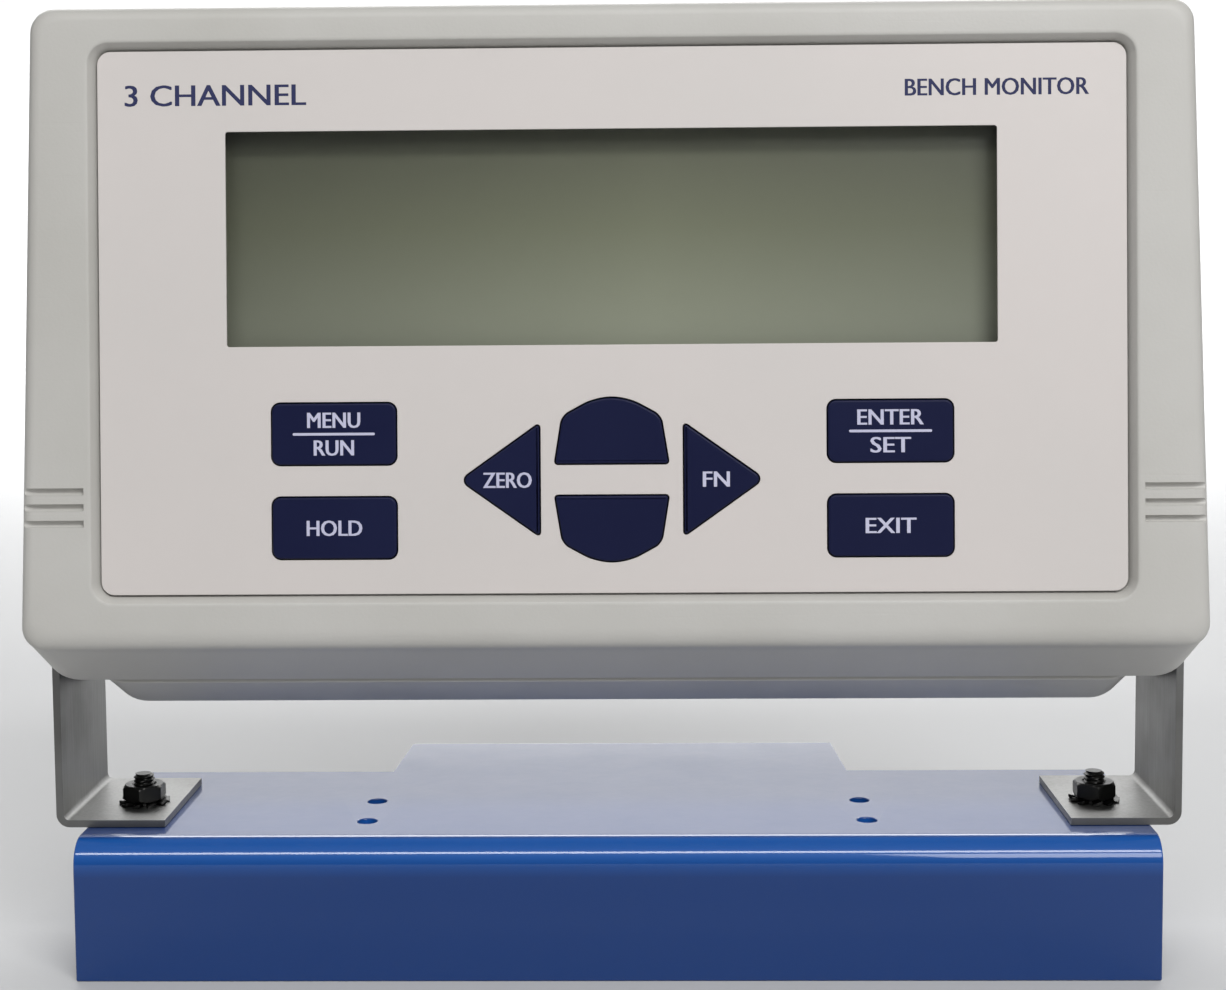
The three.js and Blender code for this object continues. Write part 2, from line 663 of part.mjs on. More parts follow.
function serialPort() {
  const { flangeWidth, flangeHeight, flange, shellOut } = serial;
  const ears = centredBox(flangeWidth, flangeHeight, connectorZ, flangeFront, flangeFront + flange);
  const shell = solid(plate(deeOutline(0.2), connectorFront, flangeFront + shellOut)).add(solid(ears));
  return without(shell, [plate(deeOutline(0.9), flangeFront + flange, flangeFront + shellOut + 1)]);
}

place(housing, 'serial_port', serialPort(), nickel).position.x = serial.x;

function terminalBlock() {
  const end = plateBack + terminal.out;
  const body = solid(centredBox(terminal.width, terminal.height, connectorZ, connectorFront, end));
  const pitch = terminal.width / terminal.ways;
  const wireEntry = centredBox(3.2, 3.2, connectorZ - 1.8, end - 5, end + 1);
  const screwWell = boss(terminal.screw, end - 2, end + 1, 10).translate(0, 0, connectorZ + 2.6);
  const openings = [];
  for (let way = 0; way < terminal.ways; way += 1) {
    const x = (way + 0.5) * pitch - terminal.width / 2;
    openings.push(wireEntry.clone().translate(x, 0, 0), screwWell.clone().translate(x, 0, 0));
  }
  return without(body, openings);
}

place(housing, 'terminal_block', terminalBlock(), boardGreen).position.x = terminal.x;

function powerJack() {
  const end = plateBack + jack.out;
  const body = solid(centredBox(jack.width, jack.height, connectorZ, connectorFront, end));
  const bore = boss(jack.bore, end - jack.depth, end + 1, 16).translate(0, 0, connectorZ);
  const pin = solid(boss(jack.pin, end - jack.depth - 1, end - 1, 10)).translate([0, 0, connectorZ]);
  return without(body, [bore]).add(pin);
}

place(housing, 'power_jack', powerJack(), blackPlastic).position.x = jack.x;

// ---- Pivot: spacer, insert, washer and knob on each side ----

// Everything below is drawn about the pivot's axis, which runs along x.
const pivotBore = alongX(through(pivot.bore, 30)).translate(rear.half, 0, 0);

function spacerBody() {
  const outline = easedPolygon(spacerOutline, spacerCorners);
  const end = strap.outerX - strap.sheet - clearance;
  return without(solid(slab(outline, rear.half + clearance, end)), [pivotBore]);
}

function insertBody() {
  const middle = rear.half - 0.2 - insert.length / 2;
  const bar = alongX(through(insert.radius, insert.length)).translate(middle, 0, 0);
  return without(solid(bar), [pivotBore]);
}

const washerStart = strap.outerX + clearance;
const knobStart = washerStart + knob.washer + 0.2;

function pivotWasher() {
  const ring = disc(knob.washerRadius);
  ring.holes.push(disc(pivot.bore, THREE.Path));
  return alongX(extruded(ring, knob.washer, 12)).translate(washerStart, 0, 0);
}

function knobBody() {
  const outline = [];
  for (let step = 0; step < knob.lobes * 4; step += 1) {
    const angle = (step / (knob.lobes * 4)) * 2 * Math.PI;
    const radius = knob.radius - (knob.lobeDepth / 2) * (1 - Math.cos(knob.lobes * angle));
    outline.push([radius * Math.cos(angle), radius * Math.sin(angle)]);
  }
  const { bevel } = knob;
  const grip = extruded(easedPolygon(outline, 0), knob.grip - 2 * bevel, 1, {
    bevelEnabled: true, bevelSize: bevel, bevelThickness: bevel, bevelOffset: -bevel, bevelSegments: 1,
  }).translate(0, 0, bevel);
  const shankLength = knobStart - rear.half + insert.length;
  const shank = alongX(through(pivot.shank, shankLength)).translate(knobStart + 1 - shankLength / 2, 0, 0);
  return solid(alongX(grip).translate(knobStart, 0, 0)).add(solid(shank));
}

for (const [label, side] of sides) {
  const mirrored = (body) => (side > 0 ? body : body.mirror([1, 0, 0]));
  place(tilting, `side_spacer_${label}`, mirrored(spacerBody()), blackRubber);
  place(tilting, `pivot_insert_${label}`, mirrored(insertBody()), brass);
  place(tilting, `pivot_washer_${label}`, mirrored(solid(pivotWasher())), nickel);
  place(tilting, `pivot_knob_${label}`, mirrored(knobBody()), blackPlastic);
}

export default monitor;
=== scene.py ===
# %% [markdown]
# # A bench pressure monitor on its tilt stand
# A grey two-part case holds a display and eight keys behind a recessed front panel. It hangs between two
# bare steel straps on thumb knobs, and the straps are bolted to a folded, blue-painted base plate.
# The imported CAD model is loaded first. It fixes every size and place, so each finer piece below is worked
# out from its boxes, and rides on the body that its CAD node belongs to.

# %% Load the frame
import json
import math

import bpy
import numpy as np
from mathutils import Matrix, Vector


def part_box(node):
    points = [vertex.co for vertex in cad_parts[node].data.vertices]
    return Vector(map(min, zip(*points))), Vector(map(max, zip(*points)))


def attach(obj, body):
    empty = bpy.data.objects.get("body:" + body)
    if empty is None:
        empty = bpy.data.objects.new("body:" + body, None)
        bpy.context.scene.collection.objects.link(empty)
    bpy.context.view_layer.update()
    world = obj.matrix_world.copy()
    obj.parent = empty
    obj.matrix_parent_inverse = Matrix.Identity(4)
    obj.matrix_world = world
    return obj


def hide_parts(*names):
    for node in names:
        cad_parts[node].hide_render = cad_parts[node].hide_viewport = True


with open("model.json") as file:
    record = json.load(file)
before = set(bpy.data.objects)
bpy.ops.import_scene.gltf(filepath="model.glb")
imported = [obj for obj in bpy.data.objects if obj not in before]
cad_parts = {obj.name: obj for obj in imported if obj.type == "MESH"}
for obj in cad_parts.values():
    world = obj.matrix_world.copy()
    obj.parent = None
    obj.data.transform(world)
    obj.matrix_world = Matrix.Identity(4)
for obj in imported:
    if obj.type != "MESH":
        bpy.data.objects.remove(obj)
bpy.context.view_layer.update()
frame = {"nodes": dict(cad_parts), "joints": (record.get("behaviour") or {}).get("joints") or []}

# %% [markdown]
# The case hangs on the tilt hinge and leans back a few degrees at rest. Its parts are far easier to draw
# in the case's own upright frame: x to the right, y back from the face, z up from the face's lower edge,
# in millimetres. The hinge gives the pivot, and a key's press direction gives the way back into the case,
# so the lean is read from the frame and not typed in twice.

# %% The case's own frame, in millimetres
MM = 0.001
joints = {joint["name"]: joint for joint in frame["joints"]}
PIVOT = np.array(joints["tilt"]["pos_m"], float)
RIGHT = np.array([1.0, 0.0, 0.0])
BACK = np.array(joints["menu_press"]["axis"], float)
UP = np.cross(RIGHT, BACK)
PIVOT_IN_CASE = np.array([0.0, 29.5, 49.0])
CASE_AXES = np.array([RIGHT, BACK, UP])


def case_place(points):
    """Case millimetres to world metres: pivot + (point - pivot in the case) carried by the case's axes."""
    return PIVOT + (np.asarray(points, float) - PIVOT_IN_CASE) @ CASE_AXES * MM


def world_place(points):
    """World millimetres to world metres."""
    return np.asarray(points, float) * MM


def case_box(node):
    """A CAD node's lowest and highest corners in the case's frame, in millimetres."""
    mesh = frame["nodes"][node].data
    points = np.empty(len(mesh.vertices) * 3, np.float32)
    mesh.vertices.foreach_get("co", points)
    local = (points.reshape(-1, 3) - PIVOT) @ CASE_AXES.T / MM + PIVOT_IN_CASE
    return local.min(axis=0), local.max(axis=0)


def world_box(node):
    """A CAD node's lowest and highest corners in the world, in millimetres."""
    low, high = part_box(node)
    return np.array(low) / MM, np.array(high) / MM


lean = math.degrees(math.atan2(-BACK[2], BACK[1]))
print(f"pivot {PIVOT.round(4)}, leaning back {lean:.1f} degrees")

# %% [markdown]
# ## Outlines and surfaces
# Nearly every piece is a closed outline carried through a row of stations: a moulding, a key, a nut, a
# turned socket. So a few helpers do most of the work. One rounds the corners of an outline, one joins
# rows of points into quads, and one turns a profile round an axis. All of them work on whole arrays.

# %% Rounded outlines


def eased_loop(corners, radii, arc_steps=6, edge_steps=1):
    """A closed loop of points round a polygon with rounded corners.
    A corner P, with unit directions a to the corner before and b to the next, becomes the arc
    P + r(a + b) - r(b cos t + a sin t), for t from 0 to 90 degrees. The straight edges between the arcs
    are split into edge_steps equal parts, so loops with the same steps match point for point."""
    corners = np.asarray(corners, float)
    radii = np.broadcast_to(np.asarray(radii, float), len(corners))[:, None]
    before = np.roll(corners, 1, axis=0) - corners
    after = np.roll(corners, -1, axis=0) - corners
    before /= np.linalg.norm(before, axis=1, keepdims=True)
    after /= np.linalg.norm(after, axis=1, keepdims=True)
    turn = np.linspace(0, math.pi / 2, arc_steps + 1)[None, :, None]
    centre = (corners + radii * (before + after))[:, None]
    arcs = centre - radii[:, None] * (after[:, None] * np.cos(turn) + before[:, None] * np.sin(turn))
    starts = arcs[:, -1:]
    finishes = np.roll(arcs[:, :1], -1, axis=0)
    share = (np.arange(1, edge_steps) / edge_steps)[None, :, None]
    edges = starts + (finishes - starts) * share
    return np.concatenate([arcs, edges], axis=1).reshape(-1, 2)


def rectangle(half_width, low, high, radius, half_top=None, radius_top=None, **steps):
    """A rounded rectangle or trapezoid about x = 0, from the lower left corner anticlockwise."""
    top = half_width if half_top is None else half_top
    upper = radius if radius_top is None else radius_top
    corners = [(-half_width, low), (half_width, low), (top, high), (-top, high)]
    return eased_loop(corners, [radius, radius, upper, upper], **steps)


def drawn_in(loop, inset):
    """The loop moved inward by inset: each point goes along the left normal of the line between its two
    neighbours. The loop runs anticlockwise."""
    along = np.roll(loop, -1, axis=0) - np.roll(loop, 1, axis=0)
    along /= np.linalg.norm(along, axis=1, keepdims=True)
    return loop + inset * np.column_stack([-along[:, 1], along[:, 0]])


def at_depth(loop, depth):
    """A loop in x and z set at a depth y, as points in three dimensions."""
    return np.column_stack([loop[:, 0], np.full(len(loop), depth), loop[:, 1]])


print("outline check:", rectangle(10, 0, 5, 1).shape[0], "points")

# %% [markdown]
# A grid of points becomes a surface by joining each point to its neighbours in the next column and row.
# Either direction can close on itself, and an end row can be closed by one flat face. Whether the faces
# point outwards is measured once, by the signed volume, and a mesh that is inside out is turned round.

# %% Grids, closed shells and pieces


def grid_faces(rows, columns, wrap_rows=False, wrap_columns=True, cap_ends=False):
    """Quads over a grid of rows by columns, each from (i, j) to (i, j+1), (i+1, j+1) and (i+1, j)."""
    i = np.arange(rows if wrap_rows else rows - 1)[:, None]
    j = np.arange(columns if wrap_columns else columns - 1)[None, :]
    right = (j + 1) % columns
    below = (i + 1) % rows
    corners = [i * columns + j, i * columns + right, below * columns + right, below * columns + j]
    faces = np.stack(np.broadcast_arrays(*corners), axis=-1).reshape(-1, 4).tolist()
    if cap_ends:
        faces.append(list(range(columns))[::-1])
        faces.append(list(range((rows - 1) * columns, rows * columns)))
    return faces


def loft(rings, **options):
    """Points and faces of a surface through a row of matching rings."""
    rings = np.asarray(rings, float)
    return rings.reshape(-1, 3), grid_faces(rings.shape[0], rings.shape[1], **options)


def turned(profile, segments=64, radius_share=None):
    """A profile of (radius, height) pairs spun about z: x = r cos a, y = r sin a, z = height.
    radius_share, one number for each angle, lets the radius vary round the turn. The ends are closed."""
    profile = np.asarray(profile, float)
    angle = np.arange(segments) / segments * 2 * math.pi
    share = np.ones(segments) if radius_share is None else radius_share
    radius = profile[:, :1] * share[None, :]
    height = np.broadcast_to(profile[:, 1:], radius.shape)
    rings = np.stack([radius * np.cos(angle), radius * np.sin(angle), height], axis=-1)
    return loft(rings, cap_ends=True)


def turned_ring(profile, segments=64):
    """The same for a closed profile, such as a washer's: the last station joins the first."""
    profile = np.asarray(profile, float)
    angle = np.arange(segments) / segments * 2 * math.pi
    radius = profile[:, :1] * np.ones(segments)
    height = np.broadcast_to(profile[:, 1:], radius.shape)
    rings = np.stack([radius * np.cos(angle), radius * np.sin(angle), height], axis=-1)
    return loft(rings, wrap_rows=True)


def gathered(*shapes):
    """Several (points, faces) shapes as one, with the face numbers moved along."""
    points, faces, count = [], [], 0
    for shape_points, shape_faces in shapes:
        points.append(np.asarray(shape_points, float))
        faces.extend([[index + count for index in face] for face in shape_faces])
        count += len(shape_points)
    return np.concatenate(points), faces


def moved(shape, x=0.0, y=0.0, z=0.0):
    """A shape carried to a place."""
    points, faces = shape
    return np.asarray(points, float) + np.array([x, y, z]), faces


def to_mesh(name, shape, place):
    """A mesh from a (points, faces) shape, placed, and turned the right way out by its signed volume,
    a sixth of the sum of p0 . (p1 x p2) over its triangles."""
    points, faces = shape
    mesh = bpy.data.meshes.new(name)
    mesh.from_pydata(place(points).tolist(), [], faces)
    mesh.validate()
    mesh.calc_loop_triangles()
    triangles = np.empty(len(mesh.loop_triangles) * 3, np.int32)
    mesh.loop_triangles.foreach_get("vertices", triangles)
    corners = place(points)[triangles.reshape(-1, 3)]
    corners = corners - corners.reshape(-1, 3).mean(axis=0)
    volume = np.einsum("ij,ij->i", corners[:, 0], np.cross(corners[:, 1], corners[:, 2])).sum() / 6
    if volume < 0:
        mesh.flip_normals()
    return mesh


def smoothed(mesh, angle=30):
    """Smooth shading that breaks at edges sharper than the angle, in degrees."""
    mesh.shade_smooth()
    mesh.set_sharp_from_angle(angle=math.radians(angle))


def new_object(name, mesh):
    """An object for the mesh, at the origin, linked to the scene."""
    made = bpy.data.objects.new(name, mesh)
    bpy.context.scene.collection.objects.link(made)
    return made


def cut(piece, cutter_shape, place):
    """Takes a closed cutter shape out of a piece, by a Boolean that is applied at once."""
    cutter = new_object("cutter", to_mesh("cutter", cutter_shape, place))
    boolean = piece.modifiers.new("cut", "BOOLEAN")
    boolean.operation = "DIFFERENCE"
    boolean.solver = "EXACT"
    boolean.object = cutter
    settle(piece)
    bpy.data.objects.remove(cutter)


def ease_edges(piece, width, segments=2, angle=35):
    """Rounds the edges sharper than the angle by a width in millimetres, applied at once."""
    bevel = piece.modifiers.new("eased edges", "BEVEL")
    bevel.width = width * MM
    bevel.segments = segments
    bevel.limit_method = "ANGLE"
    bevel.angle_limit = math.radians(angle)
    bevel.harden_normals = True
    settle(piece)


def settle(piece):
    """Applies the piece's modifiers to its mesh."""
    ready = piece.evaluated_get(bpy.context.evaluated_depsgraph_get())
    old = piece.data
    piece.data = bpy.data.meshes.new_from_object(ready)
    piece.modifiers.clear()
    bpy.data.meshes.remove(old)


def finish_piece(piece, material, body, slot, *nodes):
    """Gives a piece its material and body, and hides the CAD nodes that it stands for. The slot is not used.
    """
    piece.data.materials.clear()
    piece.data.materials.append(material)
    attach(piece, body)
    if nodes:
        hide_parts(*nodes)
    print(f"{piece.name}: {len(piece.data.polygons)} faces, on {body}")
    return piece


def piece_of(name, shape, place, material, body, slot, *nodes, angle=30):
    """A finished smooth piece straight from a shape."""
    mesh = to_mesh(name, shape, place)
    smoothed(mesh, angle)
    return finish_piece(new_object(name, mesh), material, body, slot, *nodes)


print("grid check:", len(grid_faces(3, 4)), "quads from a grid of 3 by 4 that wraps across")

# %% [markdown]
# ## Camera, floor and light
# The camera stands in front at the display's height, a touch to the right, and looks slightly down, so the
# base plate's top shows as a thin band. A small downward shift keeps the uprights upright.

# %% Camera
CAMERA_PLACE = np.array([0.00697, -0.38244, 0.12644])
CAMERA_PITCH, CAMERA_YAW, CAMERA_ROLL = np.radians([4.563, 1.117, 0.445])
CAMERA_LENS = 59.72
CAMERA_SHIFT = -0.0593


def turn_matrix(axis, angle):
    """The 3 by 3 turn by an angle about one of the world's axes."""
    c, s = math.cos(angle), math.sin(angle)
    turn = np.eye(3)
    first, second = [(1, 2), (2, 0), (0, 1)][axis]
    turn[[first, second], [first, second]] = c
    turn[first, second] = -s
    turn[second, first] = s
    return turn


looking = turn_matrix(2, CAMERA_YAW) @ turn_matrix(0, -CAMERA_PITCH) @ turn_matrix(1, CAMERA_ROLL)
camera_data = bpy.data.cameras.new("camera")
camera_data.sensor_width = 36
camera_data.lens = CAMERA_LENS
camera_data.shift_y = CAMERA_SHIFT
camera_data.clip_start = 0.01
camera = bpy.data.objects.new("camera", camera_data)
bpy.context.scene.collection.objects.link(camera)
pose = np.eye(4)
pose[:3, 0] = looking[:, 0]
pose[:3, 1] = looking[:, 2]
pose[:3, 2] = -looking[:, 1]
pose[:3, 3] = CAMERA_PLACE
camera.matrix_world = Matrix(pose)
bpy.context.scene.camera = camera
bpy.context.scene.view_settings.view_transform = "Standard"
print("camera looks along", looking[:, 1].round(3))

# %% [markdown]
# The set is a sheet of pale paper that runs back along the floor and curves up behind the object, as in a
# small product studio. One surface does for both: a line in y and z with a quarter turn in it, carried
# sideways. Paper is never quite even, so its finish has a little tone and a fine tooth.

# %% The paper sweep
NODE_ACROSS, NODE_DOWN = 240, 280


def paper_finish():
    """Pale uncoated paper: slow tone from broad noise, and a fine tooth from small noise."""
    material = bpy.data.materials.new("paper_sweep")
    material.use_nodes = True
    nodes, links = material.node_tree.nodes, material.node_tree.links
    nodes.clear()
    spot = nodes.new("ShaderNodeTexCoord")
    spot.label = "place on the sheet"
    broad = nodes.new("ShaderNodeTexNoise")
    broad.label = "slow tone of the paper"
    tooth = nodes.new("ShaderNodeTexNoise")
    tooth.label = "fine tooth"
    tone = nodes.new("ShaderNodeMix")
    tone.label = "pale and slightly paler"
    bump = nodes.new("ShaderNodeBump")
    bump.label = "tooth as relief"
    sheet = nodes.new("ShaderNodeBsdfPrincipled")
    sheet.label = "paper"
    output = nodes.new("ShaderNodeOutputMaterial")
    output.label = "surface of the sweep"
    colour_frame = nodes.new("NodeFrame")
    colour_frame.label = "Tone"
    relief_frame = nodes.new("NodeFrame")
    relief_frame.label = "Tooth"
    for node in (broad, tone):
        node.parent = colour_frame
    for node in (tooth, bump):
        node.parent = relief_frame
    for step, column in enumerate([[spot], [broad, tooth], [tone, bump], [sheet], [output]]):
        for row, node in enumerate(column):
            node.location = (step * NODE_ACROSS, -row * NODE_DOWN)
    broad.inputs["Scale"].default_value = 3.0
    tooth.inputs["Scale"].default_value = 900.0
    tone.data_type = "RGBA"
    tone.inputs["A"].default_value = (0.52, 0.525, 0.53, 1)
    tone.inputs["B"].default_value = (0.56, 0.56, 0.56, 1)
    bump.inputs["Strength"].default_value = 0.1
    bump.inputs["Distance"].default_value = 0.0002
    sheet.inputs["Roughness"].default_value = 0.85
    links.new(spot.outputs["Object"], broad.inputs["Vector"])
    links.new(spot.outputs["Object"], tooth.inputs["Vector"])
    links.new(broad.outputs["Fac"], tone.inputs["Factor"])
    links.new(tone.outputs["Result"], sheet.inputs["Base Color"])
    links.new(tooth.outputs["Fac"], bump.inputs["Height"])
    links.new(bump.outputs["Normal"], sheet.inputs["Normal"])
    links.new(sheet.outputs["BSDF"], output.inputs["Surface"])
    return material


SWEEP_HALF_WIDTH = 8000.0
SWEEP_FRONT, SWEEP_BACK, SWEEP_RADIUS, SWEEP_HEIGHT = -8000.0, 1500.0, 500.0, 4000.0
sweep_turn = np.linspace(0, math.pi / 2, 25)
sweep_wall = SWEEP_BACK + SWEEP_RADIUS
sweep_y = np.concatenate([[SWEEP_FRONT], SWEEP_BACK + SWEEP_RADIUS * np.sin(sweep_turn), [sweep_wall]])
sweep_z = np.concatenate([[0.0], SWEEP_RADIUS * (1 - np.cos(sweep_turn)), [SWEEP_HEIGHT]])
sweep_x = np.linspace(-SWEEP_HALF_WIDTH, SWEEP_HALF_WIDTH, 7)
sweep_rows = np.stack(np.broadcast_arrays(sweep_x[None], sweep_y[:, None], sweep_z[:, None]), axis=-1)
sweep_shape = loft(sweep_rows, wrap_columns=False)
sweep_mesh = bpy.data.meshes.new("paper_sweep")
sweep_mesh.from_pydata(world_place(sweep_shape[0]).tolist(), [], sweep_shape[1])
sweep_mesh.shade_smooth()
sweep_mesh.materials.append(paper_finish())
new_object("paper_sweep", sweep_mesh)
print("sweep:", len(sweep_mesh.polygons), "quads")

# %% [markdown]
# A long soft light high above draws the bright lines along the case's top and the plate's bend. The key
# stands lower, in front and to the right, so the face is a little brighter on that side. A wash on the paper
# behind keeps it near white, and the sky is dim and only fills the shadows.

# %% Lights and sky


def soft_light(name, place, target, size, power):
    """A rectangular area light at a place, facing a target: its -z axis points along target - place.
    The target is never straight below."""
    data = bpy.data.lights.new(name, "AREA")
    data.shape = "RECTANGLE"
    data.size, data.size_y = size
    data.energy = power
    light = bpy.data.objects.new(name, data)
    bpy.context.scene.collection.objects.link(light)
    away = np.array(place, float) - np.array(target, float)
    away /= np.linalg.norm(away)
    across = np.cross([0, 0, 1], away)
    across /= np.linalg.norm(across)
    matrix = np.eye(4)
    matrix[:3, 0], matrix[:3, 1], matrix[:3, 2], matrix[:3, 3] = across, np.cross(away, across), away, place
    light.matrix_world = Matrix(matrix)
    return light


soft_light("overhead_front", place=(0.1, -0.87, 0.95), target=(0, 0, 0.08), size=(1.4, 0.16), power=9.5)
soft_light("right_key", place=(0.55, -1.15, 0.75), target=(0, 0, 0.1), size=(0.7, 0.4), power=6.5)
soft_light("paper_wash", place=(0, 1.4, 1.2), target=(0, 1.55, 0), size=(2.4, 0.9), power=48)

sky = bpy.data.worlds.new("studio")
sky.use_nodes = True
sky_nodes, sky_links = sky.node_tree.nodes, sky.node_tree.links
sky_nodes.clear()
sky_place = sky_nodes.new("ShaderNodeTexCoord")
sky_place.label = "direction in the room"
sky_height = sky_nodes.new("ShaderNodeSeparateXYZ")
sky_height.label = "how high it looks"
sky_tone = sky_nodes.new("ShaderNodeMapRange")
sky_tone.label = "dim at the skirting, bright overhead"
sky_light = sky_nodes.new("ShaderNodeBackground")
sky_light.label = "room light"
sky_output = sky_nodes.new("ShaderNodeOutputWorld")
sky_output.label = "room"
for step, node in enumerate([sky_place, sky_height, sky_tone, sky_light, sky_output]):
    node.location = (step * NODE_ACROSS, 0)
sky_tone.inputs["From Min"].default_value = -0.1
sky_tone.inputs["From Max"].default_value = 0.9
sky_tone.inputs["To Min"].default_value = 0.05
sky_tone.inputs["To Max"].default_value = 0.30
sky_light.inputs["Color"].default_value = (0.97, 0.98, 1.0, 1)
sky_links.new(sky_place.outputs["Generated"], sky_height.inputs["Vector"])
sky_links.new(sky_height.outputs["Z"], sky_tone.inputs["Value"])
sky_links.new(sky_tone.outputs["Result"], sky_light.inputs["Strength"])
sky_links.new(sky_light.outputs["Background"], sky_output.inputs["Surface"])
bpy.context.scene.world = sky

# %% [markdown]
# ## Finishes
# The moulded parts share one make-up. A spark-eroded mould leaves a fine even grain, handling leaves slow
# changes of tone and gloss, and the odd hairline scratch catches the light. The colour, the size of the
# grain and the gloss are the only things that differ between the case, the film and the black parts.

# %% Moulded and printed plastics


def satin_plastic(name, colour, worn, grain_size, grain_depth, roughness, gloss_spread=0.08, scratch=0.0,
                  shine=0.5):
    """Plastic with grain of a size in millimetres, a tone between colour and worn, a roughness that
    wanders by gloss_spread, hairline scratches that are as deep as scratch says, and a share of shine."""
    material = bpy.data.materials.new(name)
    material.use_nodes = True
    nodes, links = material.node_tree.nodes, material.node_tree.links
    nodes.clear()
    spot = nodes.new("ShaderNodeTexCoord")
    spot.label = "place on the moulding"
    grain = nodes.new("ShaderNodeTexNoise")
    grain.label = "spark-eroded grain"
    handling = nodes.new("ShaderNodeTexNoise")
    handling.label = "slow marks of handling"
    slant = nodes.new("ShaderNodeMapping")
    slant.label = "scratches run long one way"
    hairs = nodes.new("ShaderNodeTexNoise")
    hairs.label = "hairline scratches"
    hair_lines = nodes.new("ShaderNodeMapRange")
    hair_lines.label = "only the thin peaks scratch"
    tone = nodes.new("ShaderNodeMix")
    tone.label = "clean to worn tone"
    tone_share = nodes.new("ShaderNodeMapRange")
    tone_share.label = "how much is worn"
    gloss = nodes.new("ShaderNodeMapRange")
    gloss.label = "roughness wanders"
    grain_bump = nodes.new("ShaderNodeBump")
    grain_bump.label = "grain as relief"
    hair_bump = nodes.new("ShaderNodeBump")
    hair_bump.label = "scratches as relief"
    plastic = nodes.new("ShaderNodeBsdfPrincipled")
    plastic.label = "moulded plastic"
    output = nodes.new("ShaderNodeOutputMaterial")
    output.label = "surface"
    groups = {
        "Tone": [handling, tone_share, tone],
        "Gloss": [gloss],
        "Grain": [grain, grain_bump],
        "Scratches": [slant, hairs, hair_lines, hair_bump],
    }
    for label, members in groups.items():
        group = nodes.new("NodeFrame")
        group.label = label
        for node in members:
            node.parent = group
    columns = [[spot], [handling, grain, slant], [tone_share, gloss, hairs], [tone, grain_bump, hair_lines]]
    for step, column in enumerate(columns + [[hair_bump], [plastic], [output]]):
        for row, node in enumerate(column):
            node.location = (step * NODE_ACROSS, -row * NODE_DOWN)
    grain.inputs["Scale"].default_value = 1000.0 / grain_size
    grain.inputs["Detail"].default_value = 3.0
    handling.inputs["Scale"].default_value = 22.0
    handling.inputs["Detail"].default_value = 5.0
    slant.inputs["Rotation"].default_value = (0.2, 0.5, 0.3)
    slant.inputs["Scale"].default_value = (30.0, 900.0, 900.0)
    hairs.inputs["Scale"].default_value = 1.0
    hairs.inputs["Detail"].default_value = 1.0
    hair_lines.inputs["From Min"].default_value = 0.68
    hair_lines.inputs["From Max"].default_value = 0.74
    tone_share.inputs["From Min"].default_value = 0.35
    tone_share.inputs["From Max"].default_value = 0.75
    tone.data_type = "RGBA"
    tone.inputs["A"].default_value = (*colour, 1)
    tone.inputs["B"].default_value = (*worn, 1)
    gloss.inputs["To Min"].default_value = roughness - gloss_spread
    gloss.inputs["To Max"].default_value = roughness + gloss_spread
    grain_bump.inputs["Strength"].default_value = 0.5
    grain_bump.inputs["Distance"].default_value = grain_depth * MM
    hair_bump.inputs["Strength"].default_value = scratch
    hair_bump.inputs["Distance"].default_value = 0.00002
    hair_bump.invert = True
    plastic.inputs["Specular IOR Level"].default_value = shine
    links.new(spot.outputs["Object"], grain.inputs["Vector"])
    links.new(spot.outputs["Object"], handling.inputs["Vector"])
    links.new(spot.outputs["Object"], slant.inputs["Vector"])
    links.new(slant.outputs["Vector"], hairs.inputs["Vector"])
    links.new(hairs.outputs["Fac"], hair_lines.inputs["Value"])
    links.new(handling.outputs["Fac"], tone_share.inputs["Value"])
    links.new(handling.outputs["Fac"], gloss.inputs["Value"])
    links.new(tone_share.outputs["Result"], tone.inputs["Factor"])
    links.new(tone.outputs["Result"], plastic.inputs["Base Color"])
    links.new(gloss.outputs["Result"], plastic.inputs["Roughness"])
    links.new(grain.outputs["Fac"], grain_bump.inputs["Height"])
    links.new(hair_lines.outputs["Result"], hair_bump.inputs["Height"])
    links.new(grain_bump.outputs["Normal"], hair_bump.inputs["Normal"])
    links.new(hair_bump.outputs["Normal"], plastic.inputs["Normal"])
    links.new(plastic.outputs["BSDF"], output.inputs["Surface"])
    return material


case_grey = satin_plastic("case_grey", (0.50, 0.49, 0.465), (0.44, 0.43, 0.40),
                          grain_size=0.55, grain_depth=0.05, roughness=0.5, scratch=0.3)
panel_grey = satin_plastic("panel_grey", (0.60, 0.56, 0.54), (0.57, 0.54, 0.52),
                           grain_size=0.3, grain_depth=0.01, roughness=0.42, gloss_spread=0.05)
key_navy = satin_plastic("key_navy", (0.006, 0.008, 0.036), (0.008, 0.011, 0.044),
                         grain_size=0.25, grain_depth=0.008, roughness=0.36, gloss_spread=0.06, shine=0.15)
legend_ink = satin_plastic("legend_ink", (0.52, 0.52, 0.66), (0.44, 0.44, 0.60),
                           grain_size=0.2, grain_depth=0.004, roughness=0.5)
navy_ink = satin_plastic("navy_ink", (0.018, 0.022, 0.080), (0.026, 0.031, 0.095),
                         grain_size=0.2, grain_depth=0.004, roughness=0.5, shine=0.25)
black_plastic = satin_plastic("black_plastic", (0.012, 0.012, 0.013), (0.02, 0.02, 0.02),
                              grain_size=0.5, grain_depth=0.04, roughness=0.45, scratch=0.5)
black_rubber = satin_plastic("black_rubber", (0.014, 0.014, 0.014), (0.028, 0.027, 0.026),
                             grain_size=0.8, grain_depth=0.08, roughness=0.75)
terminal_green = satin_plastic("terminal_green", (0.02, 0.16, 0.07), (0.03, 0.19, 0.09),
                               grain_size=0.4, grain_depth=0.02, roughness=0.4)
print("plastics:", [item.name for item in bpy.data.materials])
